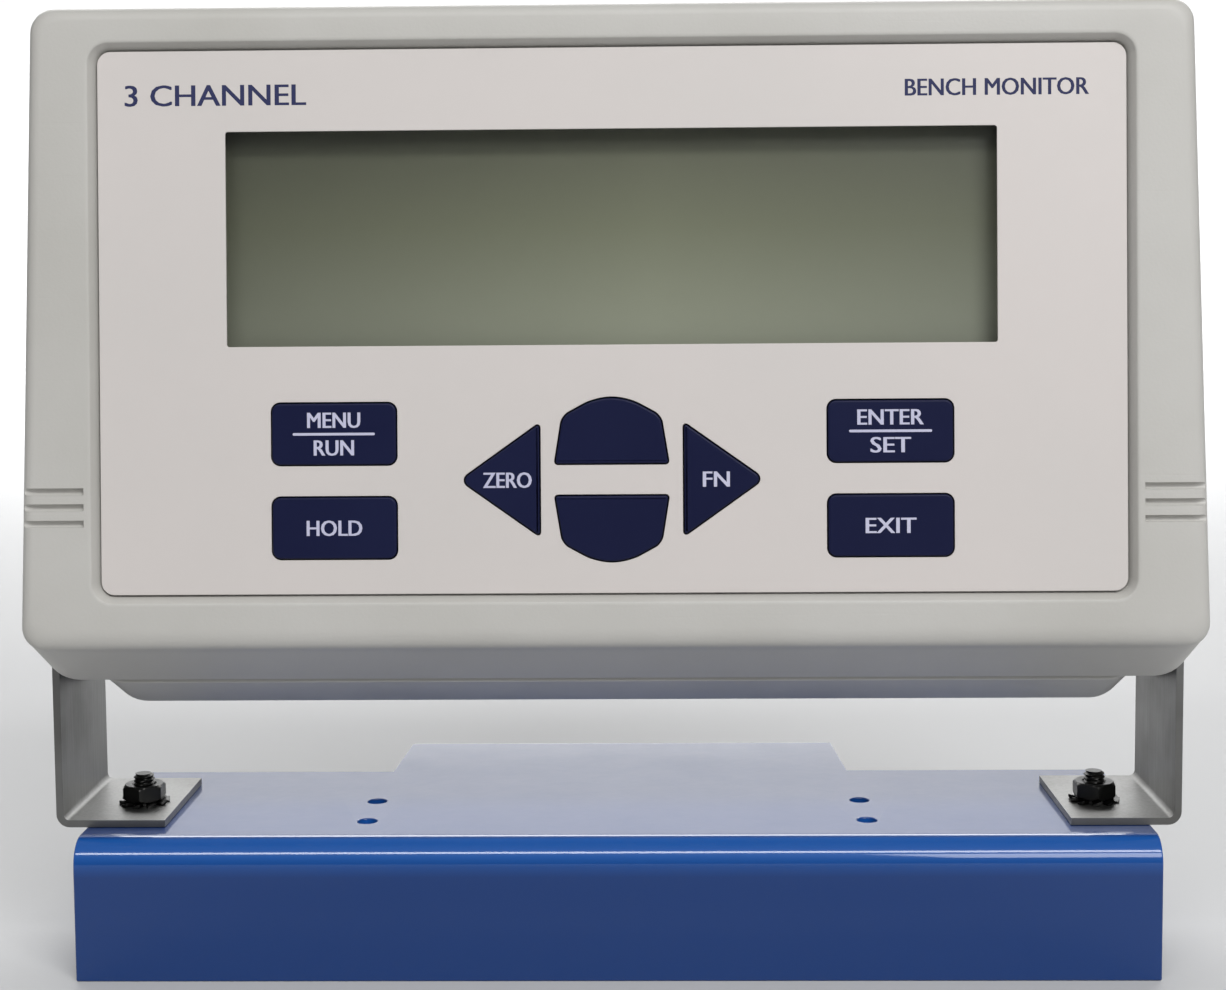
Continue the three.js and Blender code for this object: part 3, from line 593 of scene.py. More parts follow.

# %% [markdown]
# The base plate's paint is a glossy powder coat. Powder flows out slightly uneven, which gives it an
# orange-peel relief a few millimetres across under a clear, smooth top. Round the front bend the blue is
# painted lighter, in a band read from the height on the plate: painted light that stands in for the light
# the bend catches from above.

# %% Powder coat


def powder_coat():
    """Blue paint under a clear skin: orange peel as a slow bump, fine specks as a quick one, a tone that
    wanders between two blues, and painted light round the bend: a lighter blue band between two
    heights that stands in for the light the bend catches."""
    plate_top = world_box("base_plate")[1][2] * MM
    band_height = 6.5 * MM
    material = bpy.data.materials.new("base_blue")
    material.use_nodes = True
    nodes, links = material.node_tree.nodes, material.node_tree.links
    nodes.clear()
    spot = nodes.new("ShaderNodeTexCoord")
    spot.label = "place on the plate"
    peel = nodes.new("ShaderNodeTexNoise")
    peel.label = "orange peel"
    specks = nodes.new("ShaderNodeTexNoise")
    specks.label = "dust under the skin"
    drift = nodes.new("ShaderNodeTexNoise")
    drift.label = "slow change of blue"
    scuffs = nodes.new("ShaderNodeTexNoise")
    scuffs.label = "scuffed patches"
    tone = nodes.new("ShaderNodeMix")
    tone.label = "two blues"
    axes = nodes.new("ShaderNodeSeparateXYZ")
    axes.label = "height on the plate"
    bend = nodes.new("ShaderNodeMapRange")
    bend.label = "how far up the bend"
    band = nodes.new("ShaderNodeValToRGB")
    band.label = "a band that ends below the top"
    # Painted light: this mix paints the bend a lighter blue in place of the light that falls on it.
    painted_bend_light = nodes.new("ShaderNodeMix")
    painted_bend_light.label = "painted light round the bend"
    gloss = nodes.new("ShaderNodeMapRange")
    gloss.label = "scuffs dull the paint"
    peel_bump = nodes.new("ShaderNodeBump")
    peel_bump.label = "peel as relief"
    speck_bump = nodes.new("ShaderNodeBump")
    speck_bump.label = "specks as relief"
    paint = nodes.new("ShaderNodeBsdfPrincipled")
    paint.label = "powder coat"
    output = nodes.new("ShaderNodeOutputMaterial")
    output.label = "surface"
    groups = {
        "Blue": [drift, tone],
        "Bend": [axes, bend, band, painted_bend_light],
        "Gloss": [scuffs, gloss],
        "Relief": [peel, specks, peel_bump, speck_bump],
    }
    for label, members in groups.items():
        group = nodes.new("NodeFrame")
        group.label = label
        for node in members:
            node.parent = group
    columns = [[spot], [drift, scuffs, peel, specks, axes], [tone, gloss, peel_bump, bend]]
    for step, column in enumerate(columns + [[band, speck_bump], [painted_bend_light], [paint], [output]]):
        for row, node in enumerate(column):
            node.location = (step * NODE_ACROSS, -row * NODE_DOWN)
    peel.inputs["Scale"].default_value = 420.0
    peel.inputs["Detail"].default_value = 1.0
    specks.inputs["Scale"].default_value = 2600.0
    drift.inputs["Scale"].default_value = 14.0
    scuffs.inputs["Scale"].default_value = 60.0
    scuffs.inputs["Detail"].default_value = 6.0
    tone.data_type = "RGBA"
    tone.inputs["A"].default_value = (0.003, 0.034, 0.160, 1)
    tone.inputs["B"].default_value = (0.004, 0.037, 0.170, 1)
    bend.inputs["From Min"].default_value = plate_top - band_height
    bend.inputs["From Max"].default_value = plate_top
    band.color_ramp.elements[0].position = 0.0
    band.color_ramp.elements[0].color = (0, 0, 0, 1)
    band.color_ramp.elements[1].position = 0.6
    band.color_ramp.elements[1].color = (1, 1, 1, 1)
    still_light = band.color_ramp.elements.new(0.93)
    still_light.color = (1, 1, 1, 1)
    flat_top = band.color_ramp.elements.new(1.0)
    flat_top.color = (0, 0, 0, 1)
    painted_bend_light.data_type = "RGBA"
    # The painted light's colour on the bend.
    painted_bend_light.inputs["B"].default_value = (0.010, 0.085, 0.340, 1)
    gloss.inputs["From Min"].default_value = 0.35
    gloss.inputs["From Max"].default_value = 0.70
    gloss.inputs["To Min"].default_value = 0.30
    gloss.inputs["To Max"].default_value = 0.36
    peel_bump.inputs["Strength"].default_value = 0.25
    peel_bump.inputs["Distance"].default_value = 0.00006
    speck_bump.inputs["Strength"].default_value = 0.15
    speck_bump.inputs["Distance"].default_value = 0.00002
    paint.inputs["Specular IOR Level"].default_value = 0.1
    paint.inputs["Coat Weight"].default_value = 0.9
    paint.inputs["Coat Roughness"].default_value = 0.06
    links.new(spot.outputs["Object"], peel.inputs["Vector"])
    links.new(spot.outputs["Object"], specks.inputs["Vector"])
    links.new(spot.outputs["Object"], drift.inputs["Vector"])
    links.new(spot.outputs["Object"], scuffs.inputs["Vector"])
    links.new(drift.outputs["Fac"], tone.inputs["Factor"])
    links.new(spot.outputs["Object"], axes.inputs["Vector"])
    links.new(axes.outputs["Z"], bend.inputs["Value"])
    links.new(bend.outputs["Result"], band.inputs["Fac"])
    links.new(band.outputs["Color"], painted_bend_light.inputs["Factor"])
    links.new(tone.outputs["Result"], painted_bend_light.inputs["A"])
    links.new(painted_bend_light.outputs["Result"], paint.inputs["Base Color"])
    links.new(scuffs.outputs["Fac"], gloss.inputs["Value"])
    links.new(gloss.outputs["Result"], paint.inputs["Roughness"])
    links.new(peel.outputs["Fac"], peel_bump.inputs["Height"])
    links.new(specks.outputs["Fac"], speck_bump.inputs["Height"])
    links.new(peel_bump.outputs["Normal"], speck_bump.inputs["Normal"])
    links.new(speck_bump.outputs["Normal"], paint.inputs["Normal"])
    links.new(paint.outputs["BSDF"], output.inputs["Surface"])
    return material


base_blue = powder_coat()
print("paint:", base_blue.name)

# %% [markdown]
# Sheet metal and turned metal differ in the way that the tool marks run. One make-up serves both: noise
# stretched along the grain for the brushing, a slow noise for stains and oil, and a second tint that the
# stains bring in. The straps are brushed along their height, the small parts across it.

# %% Metals


def worked_metal(name, colour, stained, roughness, grain_stretch, relief, gloss_spread=0.1):
    """Metal whose grain is noise stretched by grain_stretch in x, y and z (a small number runs long), with
    stains that shift the colour and the roughness."""
    material = bpy.data.materials.new(name)
    material.use_nodes = True
    nodes, links = material.node_tree.nodes, material.node_tree.links
    nodes.clear()
    spot = nodes.new("ShaderNodeTexCoord")
    spot.label = "place on the metal"
    along = nodes.new("ShaderNodeMapping")
    along.label = "stretch along the grain"
    grain = nodes.new("ShaderNodeTexNoise")
    grain.label = "tool marks"
    stain = nodes.new("ShaderNodeTexNoise")
    stain.label = "stains and oil"
    stain_share = nodes.new("ShaderNodeMapRange")
    stain_share.label = "how stained"
    tone = nodes.new("ShaderNodeMix")
    tone.label = "clean to stained"
    dulled = nodes.new("ShaderNodeMath")
    dulled.label = "grain and stains add up"
    gloss = nodes.new("ShaderNodeMapRange")
    gloss.label = "roughness of the skin"
    bump = nodes.new("ShaderNodeBump")
    bump.label = "marks as relief"
    metal = nodes.new("ShaderNodeBsdfPrincipled")
    metal.label = "metal"
    output = nodes.new("ShaderNodeOutputMaterial")
    output.label = "surface"
    groups = {"Grain": [along, grain, bump], "Stains": [stain, stain_share, tone], "Gloss": [dulled, gloss]}
    for label, members in groups.items():
        group = nodes.new("NodeFrame")
        group.label = label
        for node in members:
            node.parent = group
    columns = [[spot], [along, stain], [grain, stain_share], [tone, dulled, bump], [gloss], [metal], [output]]
    for step, column in enumerate(columns):
        for row, node in enumerate(column):
            node.location = (step * NODE_ACROSS, -row * NODE_DOWN)
    along.inputs["Scale"].default_value = grain_stretch
    grain.inputs["Scale"].default_value = 1.0
    grain.inputs["Detail"].default_value = 4.0
    stain.inputs["Scale"].default_value = 45.0
    stain.inputs["Detail"].default_value = 6.0
    stain_share.inputs["From Min"].default_value = 0.45
    stain_share.inputs["From Max"].default_value = 0.70
    tone.data_type = "RGBA"
    tone.inputs["A"].default_value = (*colour, 1)
    tone.inputs["B"].default_value = (*stained, 1)
    dulled.operation = "ADD"
    gloss.inputs["From Min"].default_value = 0.6
    gloss.inputs["From Max"].default_value = 1.4
    gloss.inputs["To Min"].default_value = roughness - gloss_spread
    gloss.inputs["To Max"].default_value = roughness + gloss_spread
    bump.inputs["Strength"].default_value = 0.5
    bump.inputs["Distance"].default_value = relief * MM
    metal.inputs["Metallic"].default_value = 1.0
    links.new(spot.outputs["Object"], along.inputs["Vector"])
    links.new(spot.outputs["Object"], stain.inputs["Vector"])
    links.new(along.outputs["Vector"], grain.inputs["Vector"])
    links.new(stain.outputs["Fac"], stain_share.inputs["Value"])
    links.new(stain_share.outputs["Result"], tone.inputs["Factor"])
    links.new(grain.outputs["Fac"], dulled.inputs[0])
    links.new(stain.outputs["Fac"], dulled.inputs[1])
    links.new(dulled.outputs["Value"], gloss.inputs["Value"])
    links.new(grain.outputs["Fac"], bump.inputs["Height"])
    links.new(tone.outputs["Result"], metal.inputs["Base Color"])
    links.new(gloss.outputs["Result"], metal.inputs["Roughness"])
    links.new(bump.outputs["Normal"], metal.inputs["Normal"])
    links.new(metal.outputs["BSDF"], output.inputs["Surface"])
    return material


strap_steel = worked_metal("strap_steel", (0.21, 0.21, 0.205), (0.15, 0.148, 0.142),
                           roughness=0.42, grain_stretch=(1800, 1800, 60), relief=0.01)
dark_steel = worked_metal("dark_steel", (0.035, 0.035, 0.034), (0.07, 0.06, 0.05),
                          roughness=0.38, grain_stretch=(600, 600, 2500), relief=0.01)
nickel_plate = worked_metal("nickel_plate", (0.60, 0.59, 0.56), (0.48, 0.46, 0.42),
                            roughness=0.26, grain_stretch=(500, 500, 2200), relief=0.008)
insert_brass = worked_metal("insert_brass", (0.62, 0.42, 0.16), (0.40, 0.26, 0.10),
                            roughness=0.34, grain_stretch=(500, 500, 2200), relief=0.01)
print("metals:", strap_steel.name, dark_steel.name, nickel_plate.name, insert_brass.name)

# %% [markdown]
# The display's reflector is olive grey and darkens towards the top and the left, where the frame shades
# it. Liquid crystal cells leave a faint square mesh, so a fine brick pattern with no offset dims the
# lines between the cells. The pane in front is clear: it lets the camera through and mirrors at a slant.

# %% Display and pane


def reflector_olive():
    """Olive reflector with painted shade: a ramp darker up the case, a weaker one across it, and a cell mesh.
    """
    low, high = world_box("display_glass")
    material = bpy.data.materials.new("display_olive")
    material.use_nodes = True
    nodes, links = material.node_tree.nodes, material.node_tree.links
    nodes.clear()
    spot = nodes.new("ShaderNodeTexCoord")
    spot.label = "place on the display"
    axes = nodes.new("ShaderNodeSeparateXYZ")
    axes.label = "across and up"
    height = nodes.new("ShaderNodeMapRange")
    height.label = "from the lower edge to the upper"
    fall = nodes.new("ShaderNodeValToRGB")
    fall.label = "lit below, shaded above"
    sideways = nodes.new("ShaderNodeMapRange")
    sideways.label = "from the left edge to the right"
    spread = nodes.new("ShaderNodeValToRGB")
    spread.label = "brightest past the middle"
    shaded = nodes.new("ShaderNodeMix")
    shaded.label = "both shades"
    cells = nodes.new("ShaderNodeTexBrick")
    cells.label = "mesh of cells"
    meshed = nodes.new("ShaderNodeMix")
    meshed.label = "mesh over the olive"
    flat_place = nodes.new("ShaderNodeCombineXYZ")
    flat_place.label = "x and z as a sheet"
    haze = nodes.new("ShaderNodeTexNoise")
    haze.label = "haze on the polariser"
    gloss = nodes.new("ShaderNodeMapRange")
    gloss.label = "haze dulls it"
    reflector = nodes.new("ShaderNodeBsdfPrincipled")
    reflector.label = "reflector behind the glass"
    output = nodes.new("ShaderNodeOutputMaterial")
    output.label = "surface"
    groups = {
        "Shade": [axes, height, fall, sideways, spread, shaded],
        "Cells": [flat_place, cells, meshed],
        "Haze": [haze, gloss],
    }
    for label, members in groups.items():
        group = nodes.new("NodeFrame")
        group.label = label
        for node in members:
            node.parent = group
    columns = [[spot], [axes, haze], [height, sideways, flat_place], [fall, spread, cells], [shaded, gloss]]
    for step, column in enumerate(columns + [[meshed], [reflector], [output]]):
        for row, node in enumerate(column):
            node.location = (step * NODE_ACROSS, -row * NODE_DOWN)
    height.inputs["From Min"].default_value = low[2] * MM
    height.inputs["From Max"].default_value = high[2] * MM
    sideways.inputs["From Min"].default_value = low[0] * MM
    sideways.inputs["From Max"].default_value = high[0] * MM
    fall.color_ramp.elements[0].position = 0.08
    fall.color_ramp.elements[0].color = (0.36, 0.375, 0.30, 1)
    fall.color_ramp.elements[1].position = 0.93
    fall.color_ramp.elements[1].color = (0.12, 0.124, 0.092, 1)
    middle = fall.color_ramp.elements.new(0.55)
    middle.color = (0.21, 0.22, 0.155, 1)
    spread.color_ramp.elements[0].position = 0.05
    spread.color_ramp.elements[0].color = (0.62, 0.62, 0.62, 1)
    spread.color_ramp.elements[1].position = 0.97
    spread.color_ramp.elements[1].color = (0.78, 0.78, 0.80, 1)
    bright = spread.color_ramp.elements.new(0.55)
    bright.color = (1, 1, 1, 1)
    shaded.data_type = "RGBA"
    shaded.blend_type = "MULTIPLY"
    shaded.inputs["Factor"].default_value = 1.0
    cells.offset = 0.0
    cells.inputs["Color1"].default_value = (1, 1, 1, 1)
    cells.inputs["Color2"].default_value = (0.985, 0.985, 0.985, 1)
    cells.inputs["Mortar"].default_value = (0.94, 0.94, 0.94, 1)
    cells.inputs["Scale"].default_value = 1000.0
    cells.inputs["Mortar Size"].default_value = 0.04
    cells.inputs["Brick Width"].default_value = 0.55
    cells.inputs["Row Height"].default_value = 0.55
    meshed.data_type = "RGBA"
    meshed.blend_type = "MULTIPLY"
    meshed.inputs["Factor"].default_value = 0.6
    haze.inputs["Scale"].default_value = 60.0
    gloss.inputs["To Min"].default_value = 0.28
    gloss.inputs["To Max"].default_value = 0.32
    reflector.inputs["Coat Weight"].default_value = 0.4
    reflector.inputs["Coat Roughness"].default_value = 0.08
    links.new(spot.outputs["Object"], axes.inputs["Vector"])
    links.new(axes.outputs["Z"], height.inputs["Value"])
    links.new(axes.outputs["X"], sideways.inputs["Value"])
    links.new(height.outputs["Result"], fall.inputs["Fac"])
    links.new(sideways.outputs["Result"], spread.inputs["Fac"])
    links.new(fall.outputs["Color"], shaded.inputs["A"])
    links.new(spread.outputs["Color"], shaded.inputs["B"])
    links.new(axes.outputs["X"], flat_place.inputs["X"])
    links.new(axes.outputs["Z"], flat_place.inputs["Y"])
    links.new(flat_place.outputs["Vector"], cells.inputs["Vector"])
    links.new(shaded.outputs["Result"], meshed.inputs["A"])
    links.new(cells.outputs["Color"], meshed.inputs["B"])
    links.new(spot.outputs["Object"], haze.inputs["Vector"])
    links.new(haze.outputs["Fac"], gloss.inputs["Value"])
    links.new(gloss.outputs["Result"], reflector.inputs["Roughness"])
    links.new(meshed.outputs["Result"], reflector.inputs["Base Color"])
    links.new(reflector.outputs["BSDF"], output.inputs["Surface"])
    return material


def clear_window():
    """Clear sheet: Transparent and Glossy mixed by Fresnel, the gloss slightly uneven from wiping. Light
    isn't bent inside the sheet, so the share of shine is capped: otherwise its far face would hold back all
    the light that comes in at a steep slant."""
    material = bpy.data.materials.new("clear_window")
    material.use_nodes = True
    nodes, links = material.node_tree.nodes, material.node_tree.links
    nodes.clear()
    spot = nodes.new("ShaderNodeTexCoord")
    spot.label = "place on the pane"
    wipes = nodes.new("ShaderNodeTexNoise")
    wipes.label = "marks of wiping"
    gloss = nodes.new("ShaderNodeMapRange")
    gloss.label = "wiped and clean"
    through = nodes.new("ShaderNodeBsdfTransparent")
    through.label = "clear sheet"
    mirror = nodes.new("ShaderNodeBsdfGlossy")
    mirror.label = "shine on the sheet"
    slant = nodes.new("ShaderNodeFresnel")
    slant.label = "more shine at a slant"
    capped = nodes.new("ShaderNodeMath")
    capped.label = "no more than this much shine"
    pane = nodes.new("ShaderNodeMixShader")
    pane.label = "pane"
    output = nodes.new("ShaderNodeOutputMaterial")
    output.label = "surface"
    shine_frame = nodes.new("NodeFrame")
    shine_frame.label = "Shine"
    for node in (wipes, gloss, mirror, slant, capped):
        node.parent = shine_frame
    columns = [[spot], [wipes, slant], [gloss, capped], [through, mirror], [pane], [output]]
    for step, column in enumerate(columns):
        for row, node in enumerate(column):
            node.location = (step * NODE_ACROSS, -row * NODE_DOWN)
    wipes.inputs["Scale"].default_value = 35.0
    gloss.inputs["To Min"].default_value = 0.06
    gloss.inputs["To Max"].default_value = 0.08
    slant.inputs["IOR"].default_value = 1.45
    capped.operation = "MINIMUM"
    capped.inputs[1].default_value = 0.12
    through.inputs["Color"].default_value = (0.97, 0.975, 0.965, 1)
    links.new(spot.outputs["Object"], wipes.inputs["Vector"])
    links.new(wipes.outputs["Fac"], gloss.inputs["Value"])
    links.new(gloss.outputs["Result"], mirror.inputs["Roughness"])
    links.new(slant.outputs["Fac"], capped.inputs[0])
    links.new(capped.outputs["Value"], pane.inputs["Fac"])
    links.new(through.outputs["BSDF"], pane.inputs[1])
    links.new(mirror.outputs["BSDF"], pane.inputs[2])
    links.new(pane.outputs["Shader"], output.inputs["Surface"])
    return material


display_olive = reflector_olive()
clear_pane = clear_window()
print("display:", display_olive.name, clear_pane.name)

# %% [markdown]
# The circuit boards are green lacquer over copper. The copper tracks stand under the lacquer as slightly
# raised, slightly lighter lines, which a brick pattern of long thin rows gives well enough for parts that
# are only seen through a gap.

# %% Circuit board lacquer


def board_lacquer():
    """Green lacquer with tracks: long bricks as tracks, in colour and in relief, and small noise."""
    material = bpy.data.materials.new("board_green")
    material.use_nodes = True
    nodes, links = material.node_tree.nodes, material.node_tree.links
    nodes.clear()
    spot = nodes.new("ShaderNodeTexCoord")
    spot.label = "place on the board"
    turned_place = nodes.new("ShaderNodeMapping")
    turned_place.label = "board stands upright"
    tracks = nodes.new("ShaderNodeTexBrick")
    tracks.label = "copper tracks"
    weave = nodes.new("ShaderNodeTexNoise")
    weave.label = "glass weave"
    gloss = nodes.new("ShaderNodeMapRange")
    gloss.label = "weave in the gloss"
    bump = nodes.new("ShaderNodeBump")
    bump.label = "tracks as relief"
    lacquer = nodes.new("ShaderNodeBsdfPrincipled")
    lacquer.label = "lacquer"
    output = nodes.new("ShaderNodeOutputMaterial")
    output.label = "surface"
    track_frame = nodes.new("NodeFrame")
    track_frame.label = "Tracks"
    for node in (turned_place, tracks, bump):
        node.parent = track_frame
    columns = [[spot], [turned_place, weave], [tracks, gloss], [bump], [lacquer], [output]]
    for step, column in enumerate(columns):
        for row, node in enumerate(column):
            node.location = (step * NODE_ACROSS, -row * NODE_DOWN)
    turned_place.inputs["Rotation"].default_value = (math.pi / 2, 0, 0)
    tracks.inputs["Color1"].default_value = (0.012, 0.10, 0.035, 1)
    tracks.inputs["Color2"].default_value = (0.02, 0.15, 0.05, 1)
    tracks.inputs["Mortar"].default_value = (0.006, 0.06, 0.02, 1)
    tracks.inputs["Scale"].default_value = 400.0
    tracks.inputs["Brick Width"].default_value = 3.5
    tracks.inputs["Row Height"].default_value = 0.35
    tracks.inputs["Mortar Size"].default_value = 0.06
    weave.inputs["Scale"].default_value = 1500.0
    gloss.inputs["To Min"].default_value = 0.25
    gloss.inputs["To Max"].default_value = 0.45
    bump.inputs["Strength"].default_value = 0.4
    bump.inputs["Distance"].default_value = 0.00004
    links.new(spot.outputs["Object"], turned_place.inputs["Vector"])
    links.new(turned_place.outputs["Vector"], tracks.inputs["Vector"])
    links.new(spot.outputs["Object"], weave.inputs["Vector"])
    links.new(weave.outputs["Fac"], gloss.inputs["Value"])
    links.new(gloss.outputs["Result"], lacquer.inputs["Roughness"])
    links.new(tracks.outputs["Color"], lacquer.inputs["Base Color"])
    links.new(tracks.outputs["Fac"], bump.inputs["Height"])
    links.new(bump.outputs["Normal"], lacquer.inputs["Normal"])
    links.new(lacquer.outputs["BSDF"], output.inputs["Surface"])
    return material


board_green = board_lacquer()
print("board:", board_green.name)

# %% [markdown]
# ## The case
# The front shell is one moulding: a face with a bevelled recess for the panel, rounded shoulders, sides,
# and a lower side that slopes forward under the face like a skirt. Drawn as rings, each one a rounded
# trapezoid at its own depth, the whole shell is a single tube that runs from the recess out over the face,
# round the shoulder, along the side, over the rear rim and back inside. The rings match point for point.

# %% Front shell
FACE_HEIGHT, FACE_LOW_HALF, FACE_TOP_HALF, SHOULDER = 108.0, 101.1, 98.6, 2.4
FACE_LOW_CORNER, FACE_TOP_CORNER = 3.5, 4.0
SKIRT_DROP, SKIRT_CORNER = 8.0, 7.0
WALL_BACK, RIM_EASE = 4.7, 0.12
MOUTH = {"half_width": 76, "low": 9.5, "high": 98, "radius": 3}
CAVITY = {"half_width": 88, "low": -1.5, "high": 104, "radius": 4}
RECESS_DEPTH = 2.55
RECESS_FOOT = [(0.1, RECESS_DEPTH), (0.3, 2.45), (0.38, 2.2)]
RECESS_LIP = [(1.32, 0.22), (1.42, 0.09), (1.6, 0.01), (2.0, 0.0)]
SIDE_STATIONS = (3.4, 6.0, 9.5, 12.4)
RING_STEPS = {"arc_steps": 10, "edge_steps": 6}
FRONT_DEPTH = case_box("front_shell")[1][1]
panel_low, panel_high = case_box("front_panel")
PANEL_MIDDLE = (panel_low[2] + panel_high[2]) / 2
PANEL_HALF = np.array([panel_high[0], (panel_high[2] - panel_low[2]) / 2])
PANEL_CORNER = 2.2


def outer_ring(depth, inset=0.0, low=None):
    """The shell's outline at a depth: the lower edge is at -drop * depth / shell depth, and its corners
    widen with depth from the face's radius to the skirt's."""
    share = depth / FRONT_DEPTH
    low_edge = -SKIRT_DROP * share if low is None else low
    low_corner = FACE_LOW_CORNER + (SKIRT_CORNER - FACE_LOW_CORNER) * share
    loop = rectangle(FACE_LOW_HALF - inset, low_edge, FACE_HEIGHT - inset, low_corner,
                     half_top=FACE_TOP_HALF - inset, radius_top=FACE_TOP_CORNER, **RING_STEPS)
    return at_depth(loop, depth)


def recess_ring(grow, depth):
    """The panel's outline grown by a margin, at a depth."""
    half, height = PANEL_HALF + grow
    loop = rectangle(half, PANEL_MIDDLE - height, PANEL_MIDDLE + height, PANEL_CORNER + grow, **RING_STEPS)
    return at_depth(loop, depth)


def front_shell_rings():
    """Rings from the opening behind the panel, out over the face and round to the inside again. The
    recess is given as pairs: how far a ring stands outside the panel, and its depth. The shoulder is a
    quarter ellipse: depth s(1 - sin a), inset s(1 - cos a), with s the shoulder's size."""
    mouth = rectangle(**MOUTH, **RING_STEPS)
    cavity = rectangle(**CAVITY, **RING_STEPS)
    rings = [at_depth(mouth, RECESS_DEPTH)]
    rings += [recess_ring(grow, depth) for grow, depth in RECESS_FOOT + RECESS_LIP]
    start_low = -SKIRT_DROP * SHOULDER / FRONT_DEPTH
    for angle in np.linspace(math.pi / 2, 0, 9):
        inset = SHOULDER * (1 - math.cos(angle))
        low = start_low + (SHOULDER - start_low) * (1 - math.cos(angle))
        rings.append(outer_ring(SHOULDER * (1 - math.sin(angle)), inset, low))
    rings += [outer_ring(depth) for depth in SIDE_STATIONS]
    rings += [outer_ring(FRONT_DEPTH - RIM_EASE), outer_ring(FRONT_DEPTH, RIM_EASE, -SKIRT_DROP + RIM_EASE)]
    rings += [at_depth(cavity, FRONT_DEPTH), at_depth(cavity, WALL_BACK), at_depth(mouth, WALL_BACK)]
    return rings


GROOVE_HEIGHTS, GROOVE_WIDTH, GROOVE_DEPTH = (20.3, 23.1, 25.8), 1.2, 1.0
GROOVE_INNER, GROOVE_OUTER = 89.7, 100.2


def groove_cutter(side, height):
    """A bar with a half-round nose, carried from the groove's inner end to its outer end."""
    radius = GROOVE_WIDTH / 2
    turn = np.linspace(0, math.pi, 13)
    nose = np.column_stack([GROOVE_DEPTH - radius + radius * np.sin(turn), height - radius * np.cos(turn)])
    outline = np.vstack([[-2, height - radius], nose, [-2, height + radius]])
    stations = side * np.array([GROOVE_INNER, GROOVE_OUTER])
    rings = [np.column_stack([np.full(len(outline), x), outline]) for x in stations]
    return loft(rings, cap_ends=True)


front_mesh = to_mesh("case_front", loft(front_shell_rings(), wrap_rows=True), case_place)
front_case = new_object("case_front", front_mesh)
for side in (-1, 1):
    for groove_height in GROOVE_HEIGHTS:
        cut(front_case, groove_cutter(side, groove_height), case_place)
smoothed(front_case.data, 32)
ease_edges(front_case, 0.12, angle=40)
finish_piece(front_case, case_grey, "monitor", "case_plastic", "front_shell")

# %% [markdown]
# The rear shell is a tub that meets the front shell at the seam. Seen from the side its floor slopes down
# to a heel and then climbs to the back wall, and its top falls away at the back. It is drawn as rings too,
# with the heights of floor and top given by straight runs whose knees are averaged over a short window.
# Holes for the case screws, the connector plate and the pivot inserts are cut afterwards.

# %% Rear shell
rear_low, rear_high = case_box("rear_shell")
REAR_START, REAR_BACK, REAR_HALF = rear_low[1], rear_high[1], rear_high[0]
REAR_CORNER, REAR_WALL, BACK_EDGE = 6.0, 2.5, 2.6
HEEL_FRONT, HEEL_BACK, BACK_FOOT, BACK_SHOULDER, TOP_RUN = 30.0, 33.5, -1.0, 98.0, 8.0


def eased_run(depths, stations, heights, ease=1.4):
    """Straight runs between stations, averaged over a short window so that each knee is rounded."""
    window = np.linspace(-ease, ease, 9)
    return np.interp(np.asarray(depths)[:, None] + window, stations, heights).mean(axis=1)


def rear_rings(depths, insets, wall=0.0):
    """Outlines of the tub at each depth. The floor falls with the skirt's slope to the heel."""
    seam_floor = -SKIRT_DROP * REAR_START / FRONT_DEPTH
    fall = (rear_low[2] - seam_floor) / (HEEL_FRONT - REAR_START)
    floor_stations = [REAR_START - 10, HEEL_FRONT, HEEL_BACK, REAR_BACK, REAR_BACK + 10]
    climb = (BACK_FOOT - rear_low[2]) / (REAR_BACK - HEEL_BACK)
    floor_heights = [seam_floor - 10 * fall, rear_low[2], rear_low[2], BACK_FOOT, BACK_FOOT + 10 * climb]
    floors = eased_run(depths, floor_stations, floor_heights) + insets + wall
    drop = (BACK_SHOULDER - rear_high[2]) / TOP_RUN
    top_stations = [0, REAR_BACK - TOP_RUN, REAR_BACK, REAR_BACK + 10]
    top_heights = [rear_high[2], rear_high[2], BACK_SHOULDER, BACK_SHOULDER + 10 * drop]
    tops = eased_run(depths, top_stations, top_heights) - insets - wall
    rings = []
    for depth, inset, floor, top in zip(depths, insets, floors, tops):
        loop = rectangle(REAR_HALF - inset - wall, floor, top, max(REAR_CORNER - wall, 1), **RING_STEPS)
        rings.append(at_depth(loop, depth))
    return rings


edge_turn = np.linspace(0, math.pi / 2, 7)
HEEL_STATIONS = [28.6, 29.3, 30, 30.7, 31.6, 32.4, 33.2, 33.9, 34.6]
KNEE_STATIONS = [36.4, 37.2, 38, 38.8, 39.6, 41]
side_depths = np.array([REAR_START, REAR_START + RIM_EASE, 18, 22, 26, *HEEL_STATIONS, *KNEE_STATIONS])
side_insets = np.zeros(len(side_depths))
side_insets[0] = RIM_EASE
outer_depths = np.concatenate([side_depths, REAR_BACK - BACK_EDGE * (1 - np.sin(edge_turn)), [REAR_BACK]])
outer_insets = np.concatenate([side_insets, BACK_EDGE * (1 - np.cos(edge_turn)), [BACK_EDGE + 0.6]])
inner_depths = np.array([REAR_START, 22, 30, 34, 38, REAR_BACK - REAR_WALL])
outer_rings = rear_rings(outer_depths, outer_insets)[::-1]
inner_rings = rear_rings(inner_depths, np.zeros(len(inner_depths)), REAR_WALL)
tub_shape = loft(outer_rings + inner_rings, cap_ends=True)
rear_mesh = to_mesh("case_rear", tub_shape, case_place)
rear_case = new_object("case_rear", rear_mesh)
print(f"rear shell from {REAR_START:.1f} to {REAR_BACK:.1f} mm behind the face")

# %% [markdown]
# The holes come from closed bars: a sink round each screw head, a slot behind the connector plate and a
# round hole for each pivot insert. Every bar reaches past the wall that it cuts.

# %% Holes in the rear shell


def bar_along_y(radius, start, end, x, z, segments=48):
    """A round bar from one depth to another, at x and z."""
    angle = np.arange(segments) / segments * 2 * math.pi
    loop = np.column_stack([x + radius * np.cos(angle), z + radius * np.sin(angle)])
    return loft([at_depth(loop, start), at_depth(loop, end)], cap_ends=True)


